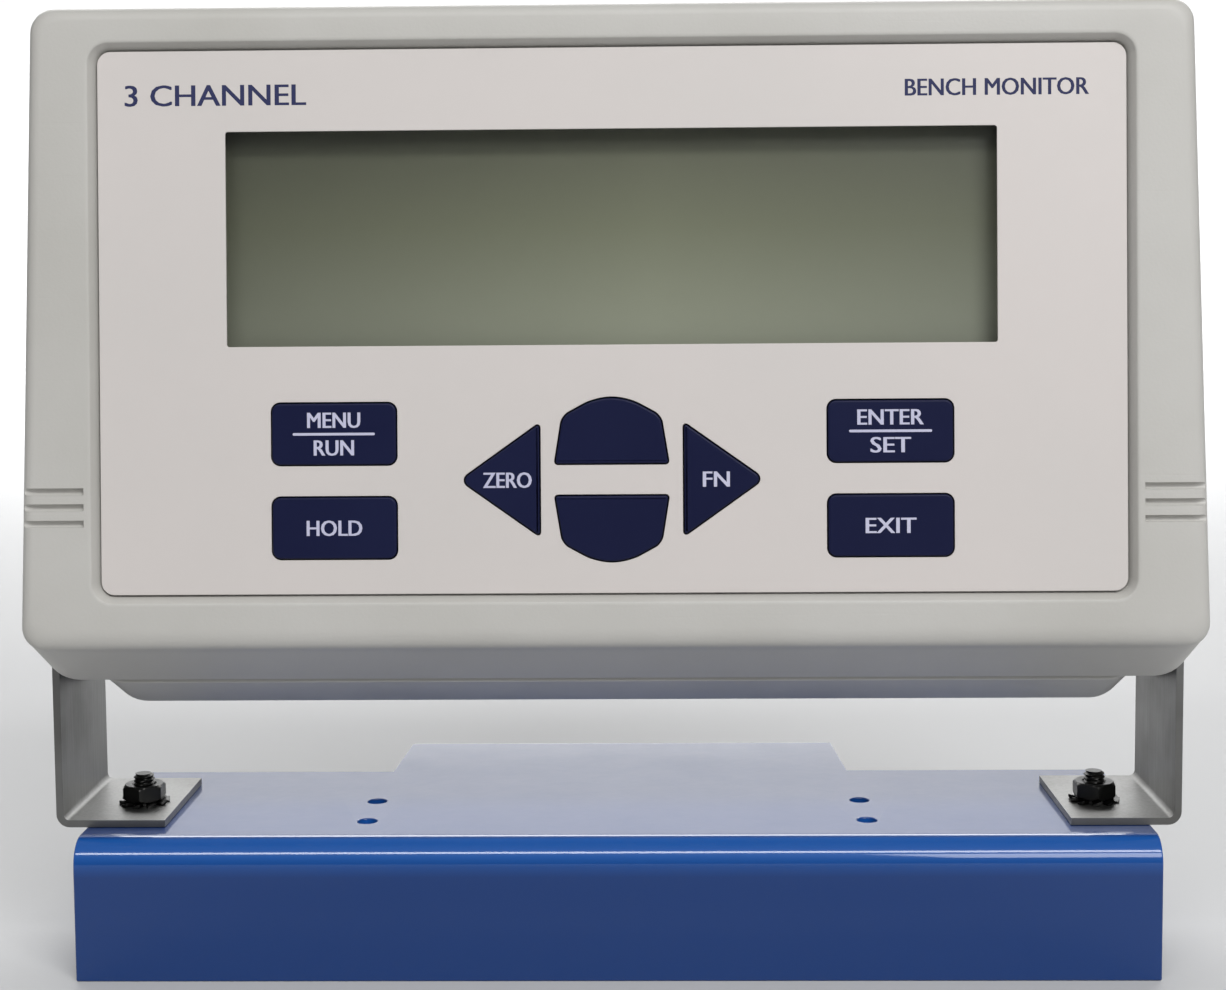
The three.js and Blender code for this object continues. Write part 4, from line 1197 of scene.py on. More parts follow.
def bar_along_x(radius, start, end, y, z, segments=48):
    """A round bar from one x to another, at y and z."""
    angle = np.arange(segments) / segments * 2 * math.pi
    rings = [np.column_stack([np.full(segments, x), y + radius * np.cos(angle), z + radius * np.sin(angle)])
             for x in (start, end)]
    return loft(rings, cap_ends=True)


SCREW_NODES = [f"case_screw_{row}_{side}" for row in ("lower", "upper") for side in ("left", "right")]
SINK_GAP, SINK_DEPTH, PLATE_LAP, SLOT_CORNER, INSERT_RADIUS = 0.5, 2.0, 4, 2, 4.3
SIDE_REACH, BACK_REACH = 4, 5
for node in SCREW_NODES:
    low, high = case_box(node)
    middle, radius = (low + high) / 2, (high[0] - low[0]) / 2
    sink = bar_along_y(radius + SINK_GAP, high[1] - SINK_DEPTH, REAR_BACK + 1, middle[0], middle[2])
    cut(rear_case, sink, case_place)
plate_low, plate_high = case_box("connector_plate")
slot_low, slot_high = plate_low[2] + PLATE_LAP, plate_high[2] - PLATE_LAP
slot_loop = rectangle(plate_high[0] - PLATE_LAP, slot_low, slot_high, SLOT_CORNER)
slot_rings = [at_depth(slot_loop, depth) for depth in (REAR_BACK - BACK_REACH, REAR_BACK + BACK_REACH)]
cut(rear_case, loft(slot_rings, cap_ends=True), case_place)
for side in (-1, 1):
    reach = sorted([side * (REAR_HALF - SIDE_REACH), side * (REAR_HALF + SIDE_REACH)])
    cut(rear_case, bar_along_x(INSERT_RADIUS, *reach, PIVOT_IN_CASE[1], PIVOT_IN_CASE[2]), case_place)
smoothed(rear_case.data, 32)
ease_edges(rear_case, 0.15, angle=45)
finish_piece(rear_case, case_grey, "monitor", "case_plastic", "rear_shell")

# %% [markdown]
# ## Keypad and panel
# Each key is a flat cap that stands a hair proud of the panel film. Its outline is a polygon with rounded
# corners, and its edge is rounded by drawing the outline in while the depth runs round a quarter turn.
# The film's openings are the same outlines moved outward, so cap and opening always keep one even gap.

# %% Key outlines
KEY_STEPS = {"arc_steps": 8, "edge_steps": 4}
KEY_CORNER = 1.4
ARROW_CORNERS = [(-9.6, 0), (9.6, 0), (8.3, 8), (2.6, 11.1), (-2.6, 11.1), (-8.3, 8)]
ARROW_ROUNDING = [0.5, 0.5, 1.2, 2.4, 2.4, 1.2]
WEDGE_ROUNDING = [0.7, 1.6, 0.7]
WEDGE_POINT, WEDGE_BASE = 0.9, 0.6


def side_key_loop(node):
    """The CAD key's box with rounded corners."""
    low, high = case_box(node)
    middle = (low[0] + high[0]) / 2
    return rectangle(high[0] - middle, low[2], high[2], KEY_CORNER, **KEY_STEPS) + [middle, 0]


def arrow_key_loop(node, direction):
    """A block with a straight base and a blunt roof, pointing up or down by the sign of the direction."""
    low, high = case_box(node)
    base = low[2] if direction > 0 else high[2]
    loop = eased_loop(ARROW_CORNERS, ARROW_ROUNDING, **KEY_STEPS)
    loop = loop if direction > 0 else loop[::-1]
    return loop * [1, direction] + [0, base]


def wedge_key_loop(node, direction):
    """A triangle with an upright base near the middle and a rounded point to the outside. Its sharp
    corners stand a little outside the key's box, since the rounding brings them back in."""
    low, high = case_box(node)
    middle = (low[2] + high[2]) / 2
    base, point = (low[0], high[0] + WEDGE_POINT) if direction > 0 else (high[0], low[0] - WEDGE_POINT)
    half = (high[2] - low[2]) / 2 + WEDGE_BASE
    corners = [(base, middle - half), (point, middle), (base, middle + half)]
    if direction < 0:
        corners = corners[::-1]
    return eased_loop(corners, WEDGE_ROUNDING, **KEY_STEPS)


KEY_LOOPS = {
    "menu": side_key_loop("key_menu"), "hold": side_key_loop("key_hold"),
    "enter": side_key_loop("key_enter"), "exit": side_key_loop("key_exit"),
    "up": arrow_key_loop("key_up", 1), "down": arrow_key_loop("key_down", -1),
    "zero": wedge_key_loop("key_zero", -1), "shift": wedge_key_loop("key_shift", 1),
}
KEY_GAP, KEY_EDGE, KEY_BACK_EASE, KEY_FACE_INSET = 0.3, 0.28, 0.1, 0.25
key_low, key_high = case_box("key_menu")
KEY_FRONT, KEY_BACK = key_low[1], key_high[1]
print("key sizes:", {name: np.ptp(loop, axis=0).round(1).tolist() for name, loop in KEY_LOOPS.items()})

# %% [markdown]
# From back to front, a cap starts with a slightly drawn-in back, runs straight, turns its rounded edge and
# ends in a flat face.

# %% Keycaps
for name, loop in KEY_LOOPS.items():
    edge = np.linspace(0, math.pi / 2, 6)
    insets = KEY_EDGE * (1 - np.cos(edge))
    depths = KEY_FRONT + KEY_EDGE * (1 - np.sin(edge))
    rings = [at_depth(drawn_in(loop, KEY_BACK_EASE), KEY_BACK), at_depth(loop, KEY_BACK - KEY_BACK_EASE)]
    rings += [at_depth(drawn_in(loop, inset), depth) for inset, depth in zip(insets, depths)]
    rings.append(at_depth(drawn_in(loop, KEY_EDGE + KEY_FACE_INSET), KEY_FRONT))
    piece_of(f"keycap_{name}", loft(rings, cap_ends=True), case_place, key_navy, f"{name}_key", "key_navy",
             f"key_{name}")

# %% [markdown]
# The film is one flat sheet with nine openings, so it is drawn as a flat curve: its outline, the window
# and the eight key openings. Blender fills the outline around the holes and gives the sheet its thickness
# with a fine rounded edge. The curve becomes a mesh before it is stood upright in its place.

# %% Panel film


def flat_sheet(name, loops, thickness, edge, depth):
    """A sheet from closed loops in x and z, the first one outside and the rest holes, centred on a depth.
    A point (x, y, z) of the flat curve goes to (x, depth - z, y) in the case."""
    curve = bpy.data.curves.new(name, "CURVE")
    curve.dimensions = "2D"
    curve.fill_mode = "BOTH"
    curve.extrude = thickness / 2 - edge
    curve.bevel_depth = edge
    curve.bevel_resolution = 1
    for loop in loops:
        spline = curve.splines.new("POLY")
        spline.points.add(len(loop) - 1)
        weighted = np.column_stack([loop, np.zeros(len(loop)), np.ones(len(loop))])
        spline.points.foreach_set("co", weighted.ravel())
        spline.use_cyclic_u = True
    return stood_upright(name, curve, depth)


def stood_upright(name, curve, depth, x=0.0, z=0.0):
    """The mesh of a flat curve or text, with (x, y, z) sent to (x, depth - z, y) in the case."""
    flat = bpy.data.objects.new(name, curve)
    bpy.context.scene.collection.objects.link(flat)
    ready = flat.evaluated_get(bpy.context.evaluated_depsgraph_get())
    mesh = bpy.data.meshes.new_from_object(ready)
    bpy.data.objects.remove(flat)
    points = np.empty(len(mesh.vertices) * 3, np.float32)
    mesh.vertices.foreach_get("co", points)
    points = points.reshape(-1, 3)
    upright = np.column_stack([points[:, 0] + x, depth - points[:, 2], points[:, 1] + z])
    mesh.vertices.foreach_set("co", case_place(upright).astype(np.float32).ravel())
    mesh.name = name
    mesh.update()
    return mesh


window_low, window_high = case_box("display_pane")
PANE_LAP_SIDE, PANE_LAP, WINDOW_CORNER, FILM_EDGE = 1.2, 1.3, 0.5, 0.05
WINDOW_HALF = window_high[0] - PANE_LAP_SIDE
WINDOW_LOW, WINDOW_HIGH = window_low[2] + PANE_LAP, window_high[2] - PANE_LAP
FILM_THICKNESS = panel_high[1] - panel_low[1]
film_loops = [rectangle(PANEL_HALF[0], panel_low[2], panel_high[2], PANEL_CORNER, arc_steps=10)]
film_loops.append(rectangle(WINDOW_HALF, WINDOW_LOW, WINDOW_HIGH, WINDOW_CORNER, arc_steps=4))
film_loops += [drawn_in(loop, -KEY_GAP) for loop in KEY_LOOPS.values()]
film_depth = (panel_low[1] + panel_high[1]) / 2
film_mesh = flat_sheet("panel_film", film_loops, FILM_THICKNESS, FILM_EDGE, film_depth)
smoothed(film_mesh, 40)
finish_piece(new_object("panel_film", film_mesh), panel_grey, "monitor", "panel_film", "front_panel")

# %% [markdown]
# The legends are printed, so they are letters a few hundredths of a millimetre thick that sit in the caps'
# faces and travel with them. The words are plain ones for what such keys do. The panel's two plain words
# are printed the same way in navy.

# %% Legends
PRINT_THICKNESS, CAPITAL_SHARE = 0.03, 0.7
RULE_HALF_LENGTH, RULE_HALF_HEIGHT, RULE_CORNER = 7.0, 0.22, 0.2


def printed_word(name, text, height, x, z, depth, ink, body, slot, width, weight=0.09):
    """A word centred on x and z and stretched to a width. Capitals of the built-in face are a set share of
    its size. The face is a thin one, so the word is joined with a twin: one stands the weight to the left
    and one to the right, which makes the uprights bolder."""
    curve = bpy.data.curves.new(name, "FONT")
    curve.body = text
    curve.size = height / CAPITAL_SHARE
    curve.align_x = "CENTER"
    curve.align_y = "CENTER"
    curve.extrude = PRINT_THICKNESS / 2
    curve.resolution_u = 3
    mesh = stood_upright(name, curve, 0.0)
    points = np.empty(len(mesh.vertices) * 3, np.float32)
    mesh.vertices.foreach_get("co", points)
    local = (points.reshape(-1, 3) - PIVOT) @ CASE_AXES.T / MM + PIVOT_IN_CASE
    middle = (local.min(axis=0) + local.max(axis=0)) / 2
    span = np.ptp(local[:, 0])
    local = (local - middle) * [(width - 2 * weight) / span, 1, 1] + [x, depth, z]
    twin_mesh = mesh.copy()
    for half, shift in [(mesh, -weight), (twin_mesh, weight)]:
        half.vertices.foreach_set("co", case_place(local + [shift, 0, 0]).astype(np.float32).ravel())
        half.update()
    word, twin = new_object(name, mesh), new_object("twin", twin_mesh)
    joined = word.modifiers.new("bolder", "BOOLEAN")
    joined.operation = "UNION"
    joined.solver = "EXACT"
    joined.object = twin
    settle(word)
    bpy.data.objects.remove(twin)
    return finish_piece(word, ink, body, slot)


def printed_bar(name, x, z, depth, ink, body, slot):
    """A thin printed rule with rounded ends."""
    loop = rectangle(RULE_HALF_LENGTH, -RULE_HALF_HEIGHT, RULE_HALF_HEIGHT, RULE_CORNER, arc_steps=4) + [x, z]
    rings = [at_depth(loop, depth - PRINT_THICKNESS / 2), at_depth(loop, depth + PRINT_THICKNESS / 2)]
    return piece_of(name, loft(rings, cap_ends=True), case_place, ink, body, slot)


def key_middle(name):
    """The middle of a key's outline."""
    loop = KEY_LOOPS[name]
    return (loop.min(axis=0) + loop.max(axis=0)) / 2


LINE_OFFSET, CAPITAL, LETTER_PITCH, LETTER_SPREAD = 2.35, 2.65, 2.4, 0.96
for name, words in {"menu": ("MENU", "RUN"), "enter": ("ENTER", "SET")}.items():
    x, z = key_middle(name)
    for level, word in zip((1, -1), words):
        width = LETTER_PITCH * len(word) ** LETTER_SPREAD
        printed_word(f"legend_{word.lower()}", word, CAPITAL, x, z + level * LINE_OFFSET, KEY_FRONT,
                     legend_ink, f"{name}_key", "panel_film", width)
    printed_bar(f"legend_rule_{name}", x, z, KEY_FRONT, legend_ink, f"{name}_key", "panel_film")
SINGLE_WORDS = [
    ("hold", "HOLD", 0, 9.5), ("exit", "EXIT", 0, 8.6),
    ("zero", "ZERO", 0.9, 8.3), ("shift", "FN", -0.9, 4.6),
]
for name, word, shift, width in SINGLE_WORDS:
    x, z = key_middle(name)
    printed_word(f"legend_{word.lower()}", word, CAPITAL, x + shift, z, KEY_FRONT, legend_ink, f"{name}_key",
                 "panel_film", width)
PANEL_WORD_WIDTH = 31
printed_word("panel_word_right", "BENCH MONITOR", 2.9, 65.4, 93.3, panel_low[1], navy_ink, "monitor",
             "key_navy", PANEL_WORD_WIDTH)
printed_word("panel_word_left", "3 CHANNEL", 3.6, -67.0, 93.0, panel_low[1], navy_ink, "monitor",
             "key_navy", PANEL_WORD_WIDTH)

# %% [markdown]
# ## The stand
# The base plate is one sheet: a front flange, a rolled corner, a flat top, a narrower tail that tapers
# slightly, and a leg turned down behind. Its outer skin is a path in y and z carried across x. The tail
# shares the wide part's middle columns, so the two grids are joined on their common row. Solidify gives
# the sheet its thickness downwards, and the holes are cut before the edges are eased.

# %% Base plate
base_low, base_high = world_box("base_plate")
BASE_HALF, BASE_FRONT, BASE_BACK, BASE_TOP = base_high[0], base_low[1], base_high[1], base_high[2]
BEND, SHEET = 4.8, 2.0
TAIL_HALF, TAIL_END_HALF, SHOULDER_Y = 45.2, 43.8, BASE_FRONT + 49.3
bend_turn = np.linspace(0, math.pi / 2, 15)
front_y = np.concatenate([[BASE_FRONT] * 4, BASE_FRONT + BEND * (1 - np.cos(bend_turn)), [0, SHOULDER_Y]])
flange_z = np.linspace(0, BASE_TOP - BEND, 5)[:4]
front_z = np.concatenate([flange_z, BASE_TOP - BEND * (1 - np.sin(bend_turn)), [BASE_TOP] * 2])
tail_y = np.concatenate([[SHOULDER_Y], BASE_BACK - BEND * (1 - np.sin(bend_turn)), [BASE_BACK] * 3])
leg_z = np.linspace(BASE_TOP - BEND, 0, 4)[1:]
tail_z = np.concatenate([[BASE_TOP], BASE_TOP - BEND * (1 - np.cos(bend_turn)), leg_z])
wing_x = np.linspace(TAIL_HALF, BASE_HALF, 7)
middle_x = np.linspace(-TAIL_HALF, TAIL_HALF, 13)
plate_x = np.concatenate([-wing_x[:0:-1], middle_x, wing_x[1:]])
wide_grid = np.stack(np.broadcast_arrays(plate_x[None], front_y[:, None], front_z[:, None]), axis=-1)
taper = np.interp(tail_y, [SHOULDER_Y, BASE_BACK], [1, TAIL_END_HALF / TAIL_HALF])
tail_x = middle_x[None] * taper[:, None]
tail_grid = np.stack(np.broadcast_arrays(tail_x, tail_y[:, None], tail_z[:, None]), axis=-1)
plate_points, plate_faces = gathered(loft(wide_grid, wrap_columns=False), loft(tail_grid, wrap_columns=False))
plate_points, kept = np.unique(plate_points.round(5), axis=0, return_inverse=True)
plate_faces = [[int(kept.ravel()[index]) for index in face] for face in plate_faces]
plate_mesh = bpy.data.meshes.new("base_sheet")
plate_mesh.from_pydata(world_place(plate_points).tolist(), [], plate_faces)
base_sheet = new_object("base_sheet", plate_mesh)
top_faces = [face for face in plate_mesh.polygons if abs(face.normal.z) > 0.9]
if top_faces[0].normal.z < 0:
    plate_mesh.flip_normals()
thicken = base_sheet.modifiers.new("sheet", "SOLIDIFY")
thicken.thickness = SHEET * MM
thicken.offset = -1
thicken.use_even_offset = True
settle(base_sheet)
print(f"base sheet: {len(base_sheet.data.polygons)} faces, {BASE_TOP:.1f} mm high")

# %% [markdown]
# Two pairs of small holes are for accessories, and each foot bolt has its own. They are cut straight down
# through the top.

# %% Holes in the base plate


def bar_along_z(radius, start, end, x, y, segments=40):
    """A round bar from one height to another, at x and y."""
    return moved(turned([(radius, start), (radius, end)], segments), x, y)


ACCESSORY_X, ACCESSORY_RADIUS, STUD_HOLE = 45.3, 1.75, 2.25
PLATE_CUT = (15, 30)
ACCESSORY_Y = (BASE_FRONT + 13.2, BASE_FRONT + 26.8)
bolt_low, bolt_high = world_box("foot_bolt_right")
BOLT_X, BOLT_Y = (bolt_low[0] + bolt_high[0]) / 2, (bolt_low[1] + bolt_high[1]) / 2
for side in (-1, 1):
    for y in ACCESSORY_Y:
        cut(base_sheet, bar_along_z(ACCESSORY_RADIUS, *PLATE_CUT, side * ACCESSORY_X, y), world_place)
    cut(base_sheet, bar_along_z(STUD_HOLE, *PLATE_CUT, side * BOLT_X, BOLT_Y), world_place)
smoothed(base_sheet.data, 30)
ease_edges(base_sheet, 0.35, segments=3, angle=45)
finish_piece(base_sheet, base_blue, "stand", "base_paint", "base_plate")

# %% [markdown]
# Each strap is a flat bar with a foot turned in at the bottom and a round top about the pivot. The path
# runs along the foot's underside, round the bend and up. Across it, the bar's width is full up to the
# pivot's height and then follows a half circle, 15 cos t wide at 15 sin t above the pivot.

# %% Straps
strap_low, strap_high = world_box("strap_right")
STRAP_X, STRAP_HALF = strap_high[0], (strap_high[1] - strap_low[1]) / 2
STRAP_SHEET, STRAP_BEND, SHANK_HOLE = 1.3, 2.4, 2.8
STRAP_CUT = (20, 35)
STRAP_MIDDLE = (strap_high[1] + strap_low[1]) / 2
PIVOT_HEIGHT = PIVOT[2] / MM


def strap_grid(side):
    """Outer skin of a strap: path stations down the rows, five columns of its width across."""
    turn = np.linspace(0, math.pi / 2, 9)
    top_turn = np.linspace(0, math.radians(84), 15)
    foot_x = [strap_low[0], (strap_low[0] + STRAP_X) / 2]
    upright_x = np.full(4 + len(top_turn), STRAP_X)
    x = np.concatenate([foot_x, STRAP_X - STRAP_BEND * (1 - np.sin(turn)), upright_x])
    bend_z = strap_low[2] + STRAP_BEND * (1 - np.cos(turn))
    straight_z = np.linspace(strap_low[2] + STRAP_BEND, PIVOT_HEIGHT, 6)[1:5]
    z = np.concatenate([[strap_low[2]] * 2, bend_z, straight_z, PIVOT_HEIGHT + STRAP_HALF * np.sin(top_turn)])
    half = np.concatenate([np.full(len(x) - len(top_turn), STRAP_HALF), STRAP_HALF * np.cos(top_turn)])
    across = np.array([-1, -0.93, 0, 0.93, 1])
    y = STRAP_MIDDLE + half[:, None] * across[None]
    return np.stack(np.broadcast_arrays(side * x[:, None], y, z[:, None]), axis=-1)


for side, label in [(-1, "left"), (1, "right")]:
    points, faces = loft(strap_grid(side), wrap_columns=False)
    mesh = bpy.data.meshes.new(f"strap_bar_{label}")
    mesh.from_pydata(world_place(points).tolist(), [], faces)
    outward = [face.normal.x * side for face in mesh.polygons if abs(face.normal.x) > 0.9]
    if outward[0] < 0:
        mesh.flip_normals()
    strap_bar = new_object(f"strap_bar_{label}", mesh)
    thicken = strap_bar.modifiers.new("sheet", "SOLIDIFY")
    thicken.thickness = STRAP_SHEET * MM
    thicken.offset = -1
    thicken.use_even_offset = True
    settle(strap_bar)
    cut(strap_bar, bar_along_z(STUD_HOLE, *STRAP_CUT, side * BOLT_X, BOLT_Y), world_place)
    reach = sorted([side * (STRAP_X - SIDE_REACH), side * (STRAP_X + SIDE_REACH)])
    cut(strap_bar, bar_along_x(SHANK_HOLE, *reach, PIVOT[1] / MM, PIVOT_HEIGHT), world_place)
    smoothed(strap_bar.data, 30)
    ease_edges(strap_bar, 0.2, angle=45)
    finish_piece(strap_bar, strap_steel, "stand", "bare_steel", f"strap_{label}")

# %% [markdown]
# The foot bolts are blackened M4 studs with a cut thread. A thread is a helix: on a grid of angle and
# height the radius is a triangle wave of height / pitch - angle / turn. The nut is a six-sided radius,
# flats / 2 / cos of the angle from the flat's middle, trimmed by a cone at each end for its chamfer.
# The lock washer's teeth are twisted, which is a height that tips from side to side within each tooth.

# %% Bolts, nuts and washers
THREAD_PITCH, THREAD_RADIUS, THREAD_DEPTH = 0.7, 1.97, 0.36


def threaded_bar(start, end, per_turn=48, per_pitch=8):
    """A bar with a helical thread: r = R - depth * triangle(z / pitch - angle / turn), faded at its end."""
    rows = int((end - start) / THREAD_PITCH * per_pitch)
    z = np.linspace(start, end, rows)[:, None]
    angle = (np.arange(per_turn) / per_turn)[None, :]
    phase = (z / THREAD_PITCH - angle) % 1
    wave = np.abs(2 * phase - 1)
    point = np.clip((end - z) / 0.6, 0, 1)
    radius = THREAD_RADIUS - THREAD_DEPTH * wave - 0.35 * (1 - point)
    rings = [radius * np.cos(angle * 2 * math.pi), radius * np.sin(angle * 2 * math.pi), z]
    return loft(np.stack(np.broadcast_arrays(*rings), axis=-1), cap_ends=True)


def hex_nut(flats, height, bore, segments=96):
    """A chamfered hexagon with a bore, as one closed ring of stations."""
    angle = np.arange(segments) / segments * 2 * math.pi
    side_angle = (angle + math.pi / 6) % (math.pi / 3) - math.pi / 6
    hexagon = flats / 2 / np.cos(side_angle)
    chamfer = np.array([0.0, 0.12, 0.35, 0.6])
    z = np.concatenate([chamfer, height - chamfer[::-1]])
    reach = flats / 2 * 0.97 + np.concatenate([chamfer, chamfer[::-1]]) * 1.3
    outer = np.minimum(hexagon[None, :], reach[:, None])
    inner = np.array([bore, bore - 0.25, bore - 0.25, bore])
    radius = np.vstack([outer, np.broadcast_to(inner[:, None], (4, segments))])
    heights = np.concatenate([z, [height - 0.05, height - 0.3, 0.3, 0.05]])
    rings = [radius * np.cos(angle), radius * np.sin(angle), heights[:, None]]
    return loft(np.stack(np.broadcast_arrays(*rings), axis=-1), wrap_rows=True)


def lock_washer(inner, root, tip, thickness, teeth=10, per_tooth=12):
    """A ring with twisted outer teeth: within a tooth the rim tips by twist * (share - 1/2)."""
    count = teeth * per_tooth
    angle = np.arange(count) / count * 2 * math.pi
    share = (np.arange(count) % per_tooth) / per_tooth
    tooth = np.clip(np.minimum(share, 0.72 - share) * 12, 0, 1)
    outer = root + (tip - root) * tooth
    tilt = 1.1 * (share - 0.36) * tooth
    radius = np.stack([np.full(count, inner), np.full(count, root - 0.3), outer])
    lift = np.stack([np.zeros(count), np.zeros(count), tilt])
    radius = np.concatenate([radius, radius[::-1]])
    heights = np.concatenate([lift, lift[::-1] + thickness])
    rings = [radius * np.cos(angle), radius * np.sin(angle), heights]
    return loft(np.stack(rings, axis=-1), wrap_rows=True)


HEAD_PROFILE = np.array([(0.01, 0), (2.6, 0), (3.6, 0.5), (4.1, 1.4), (4.2, 2.2), (4.1, 2.55), (1.9, 2.6),
                         (1.6, 2.9), (0.01, 2.9)])
WASHER_LIFT = 0.1
foot_top = strap_low[2] + STRAP_SHEET
nut_low, nut_high = world_box("foot_nut_right")
for side, label in [(-1, "left"), (1, "right")]:
    x = side * BOLT_X
    head = turned(HEAD_PROFILE + [0, bolt_low[2]])
    stud = gathered(head, threaded_bar(bolt_low[2] + 2.7, bolt_high[2]))
    piece_of(f"foot_stud_{label}", moved(stud, x, BOLT_Y), world_place, dark_steel, "stand", "dark_steel",
             f"foot_bolt_{label}")
    washer = lock_washer(inner=2.25, root=3.3, tip=4.6, thickness=0.5)
    seated = moved(washer, x, BOLT_Y, foot_top + WASHER_LIFT)
    piece_of(f"star_washer_{label}", seated, world_place, dark_steel, "stand", "dark_steel",
             f"lock_washer_{label}", angle=20)
    nut = hex_nut(min(nut_high[:2] - nut_low[:2]), nut_high[2] - nut_low[2], 2.25)
    piece_of(f"hex_nut_{label}", moved(nut, x, BOLT_Y, nut_low[2]), world_place, dark_steel, "stand",
             "dark_steel", f"foot_nut_{label}", angle=25)

# %% [markdown]
# The thumb knobs clamp the case at the chosen tilt. A knob's grip is a turned profile whose radius dips
# twelve times round the turn, which gives the finger lobes, with a dished cap and a steel washer under it.
# It is drawn upright and then laid along x, so that its top faces away from the case.

# %% Knobs and washers
KNOB_LOBES, LOBE_DEPTH, KNOB_GRIP, KNOB_ROUND = 12, 0.045, 3.0, 0.9


def laid_along_x(shape, side, x, y, z):
    """Turns a shape drawn along z to point outward along x: (x, y, z) goes to (side z, y, -side x)."""
    points, faces = shape
    points = np.asarray(points, float)
    return np.column_stack([side * points[:, 2] + x, points[:, 1] + y, -side * points[:, 0] + z]), faces


pivot_y, pivot_z = PIVOT[1] / MM, PIVOT[2] / MM
for side, label in [(-1, "left"), (1, "right")]:
    low, high = world_box(f"pivot_knob_{label}")
    radius = (high[2] - low[2]) / 2
    outer_x, inner_x = (high[0], low[0]) if side > 0 else (low[0], high[0])
    lobes = np.arange(144) / 144 * 2 * math.pi
    share = 1 - LOBE_DEPTH * (1 - np.cos(KNOB_LOBES * lobes)) / 2
    edge = np.linspace(0, math.pi / 2, 7)
    rim_drop = KNOB_ROUND * (1 - np.sin(edge))
    rim = np.column_stack([radius - KNOB_ROUND * (1 - np.cos(edge)), KNOB_GRIP - rim_drop])
    foot = [(0.01, 0.0), (radius * 0.62, 0.0), (radius * 0.62, 0.5), (radius - 0.5, 0.55),
            (radius - 0.05, 1.0)]
    dish = [(radius * 0.78, KNOB_GRIP), (radius * 0.74, KNOB_GRIP - 0.45), (radius * 0.3, KNOB_GRIP - 0.6),
            (0.01, KNOB_GRIP - 0.6)]
    body = turned(np.vstack([foot, rim, dish]), 144, share)
    shank_length = abs(outer_x - inner_x) - KNOB_GRIP
    shank = turned([(0.01, -shank_length), (2.1, -shank_length), (2.4, 0.4 - shank_length), (2.4, 0.3),
                    (0.01, 0.3)], 32)
    knob = laid_along_x(gathered(body, shank), side, outer_x - side * KNOB_GRIP, pivot_y, pivot_z)
    piece_of(f"thumb_knob_{label}", knob, world_place, black_plastic, "monitor", "black_plastic",
             f"pivot_knob_{label}")
    low, high = world_box(f"pivot_washer_{label}")
    thick = high[0] - low[0]
    ring = turned_ring([(2.8, 0.1), (2.9, 0), (6.85, 0), (7, 0.15), (7, thick - 0.15), (6.85, thick),
                        (2.9, thick), (2.8, thick - 0.1)])
    start = low[0] if side > 0 else high[0]
    piece_of(f"flat_washer_{label}", laid_along_x(ring, side, start, pivot_y, pivot_z), world_place,
             nickel_plate, "monitor", "nickel_plate", f"pivot_washer_{label}")

# %% [markdown]
# ## The back
# The case screws are pan heads with a cross recess, cut once for each from a turned head. The three
# sensor sockets are turned shells with a keyed insert and six pins. The serial port has its D-shaped
# shell, nine pins and two hex posts, and the terminal block has its four slotted clamp screws.

# %% Case screws


def laid_along_y(shape, x, y, z):
    """Turns a shape drawn along z to point back along y: (x, y, z) goes to (x, z, -y)."""
    points, faces = shape
    points = np.asarray(points, float)
    return np.column_stack([points[:, 0] + x, points[:, 2] + y, -points[:, 1] + z]), faces


def cross_cutter(half_width, reach, depth):
    """A plus sign in plan, tapered to half its reach at the bottom."""
    w, r = half_width, reach
    plan = np.array([(-w, -r), (w, -r), (w, -w), (r, -w), (r, w), (w, w), (w, r), (-w, r), (-w, w), (-r, w),
                     (-r, -w), (-w, -w)])
    flat = np.column_stack([plan, np.zeros(len(plan))])
    bottom = flat * [0.55, 0.55, 1] - [0, 0, depth]
    top = flat + [0, 0, 1.0]
    return loft([bottom, flat, top], cap_ends=True)


PAN_HEIGHT = 1.8
for node in SCREW_NODES:
    low, high = case_box(node)
    x, z, radius = (low[0] + high[0]) / 2, (low[2] + high[2]) / 2, (high[0] - low[0]) / 2
    dome = np.linspace(0, math.pi / 2, 8)
    crown = np.column_stack([radius * (0.35 + 0.65 * np.cos(dome)), -0.8 + 0.8 * np.sin(dome)])
    profile = np.vstack([[(0.01, low[1] - high[1]), (1.2, low[1] - high[1] + 1), (1.25, -PAN_HEIGHT),
                          (radius - 0.1, -PAN_HEIGHT), (radius, -PAN_HEIGHT + 0.1)], crown, [(0.01, 0)]])
    name = node.replace("case_screw", "cross_screw")
    mesh = to_mesh(name, laid_along_y(turned(profile, 48), x, high[1], z), case_place)
    screw = new_object(name, mesh)
    cut(screw, laid_along_y(cross_cutter(0.32, 1.5, 1.1), x, high[1], z), case_place)
    smoothed(screw.data, 30)
    finish_piece(screw, dark_steel, "monitor", "dark_steel", node)

# %% [markdown]
# A socket's shell is turned in one piece, with a rolled lip and a bore. Its insert, its key rib and its
# pins sit deeper in the bore.

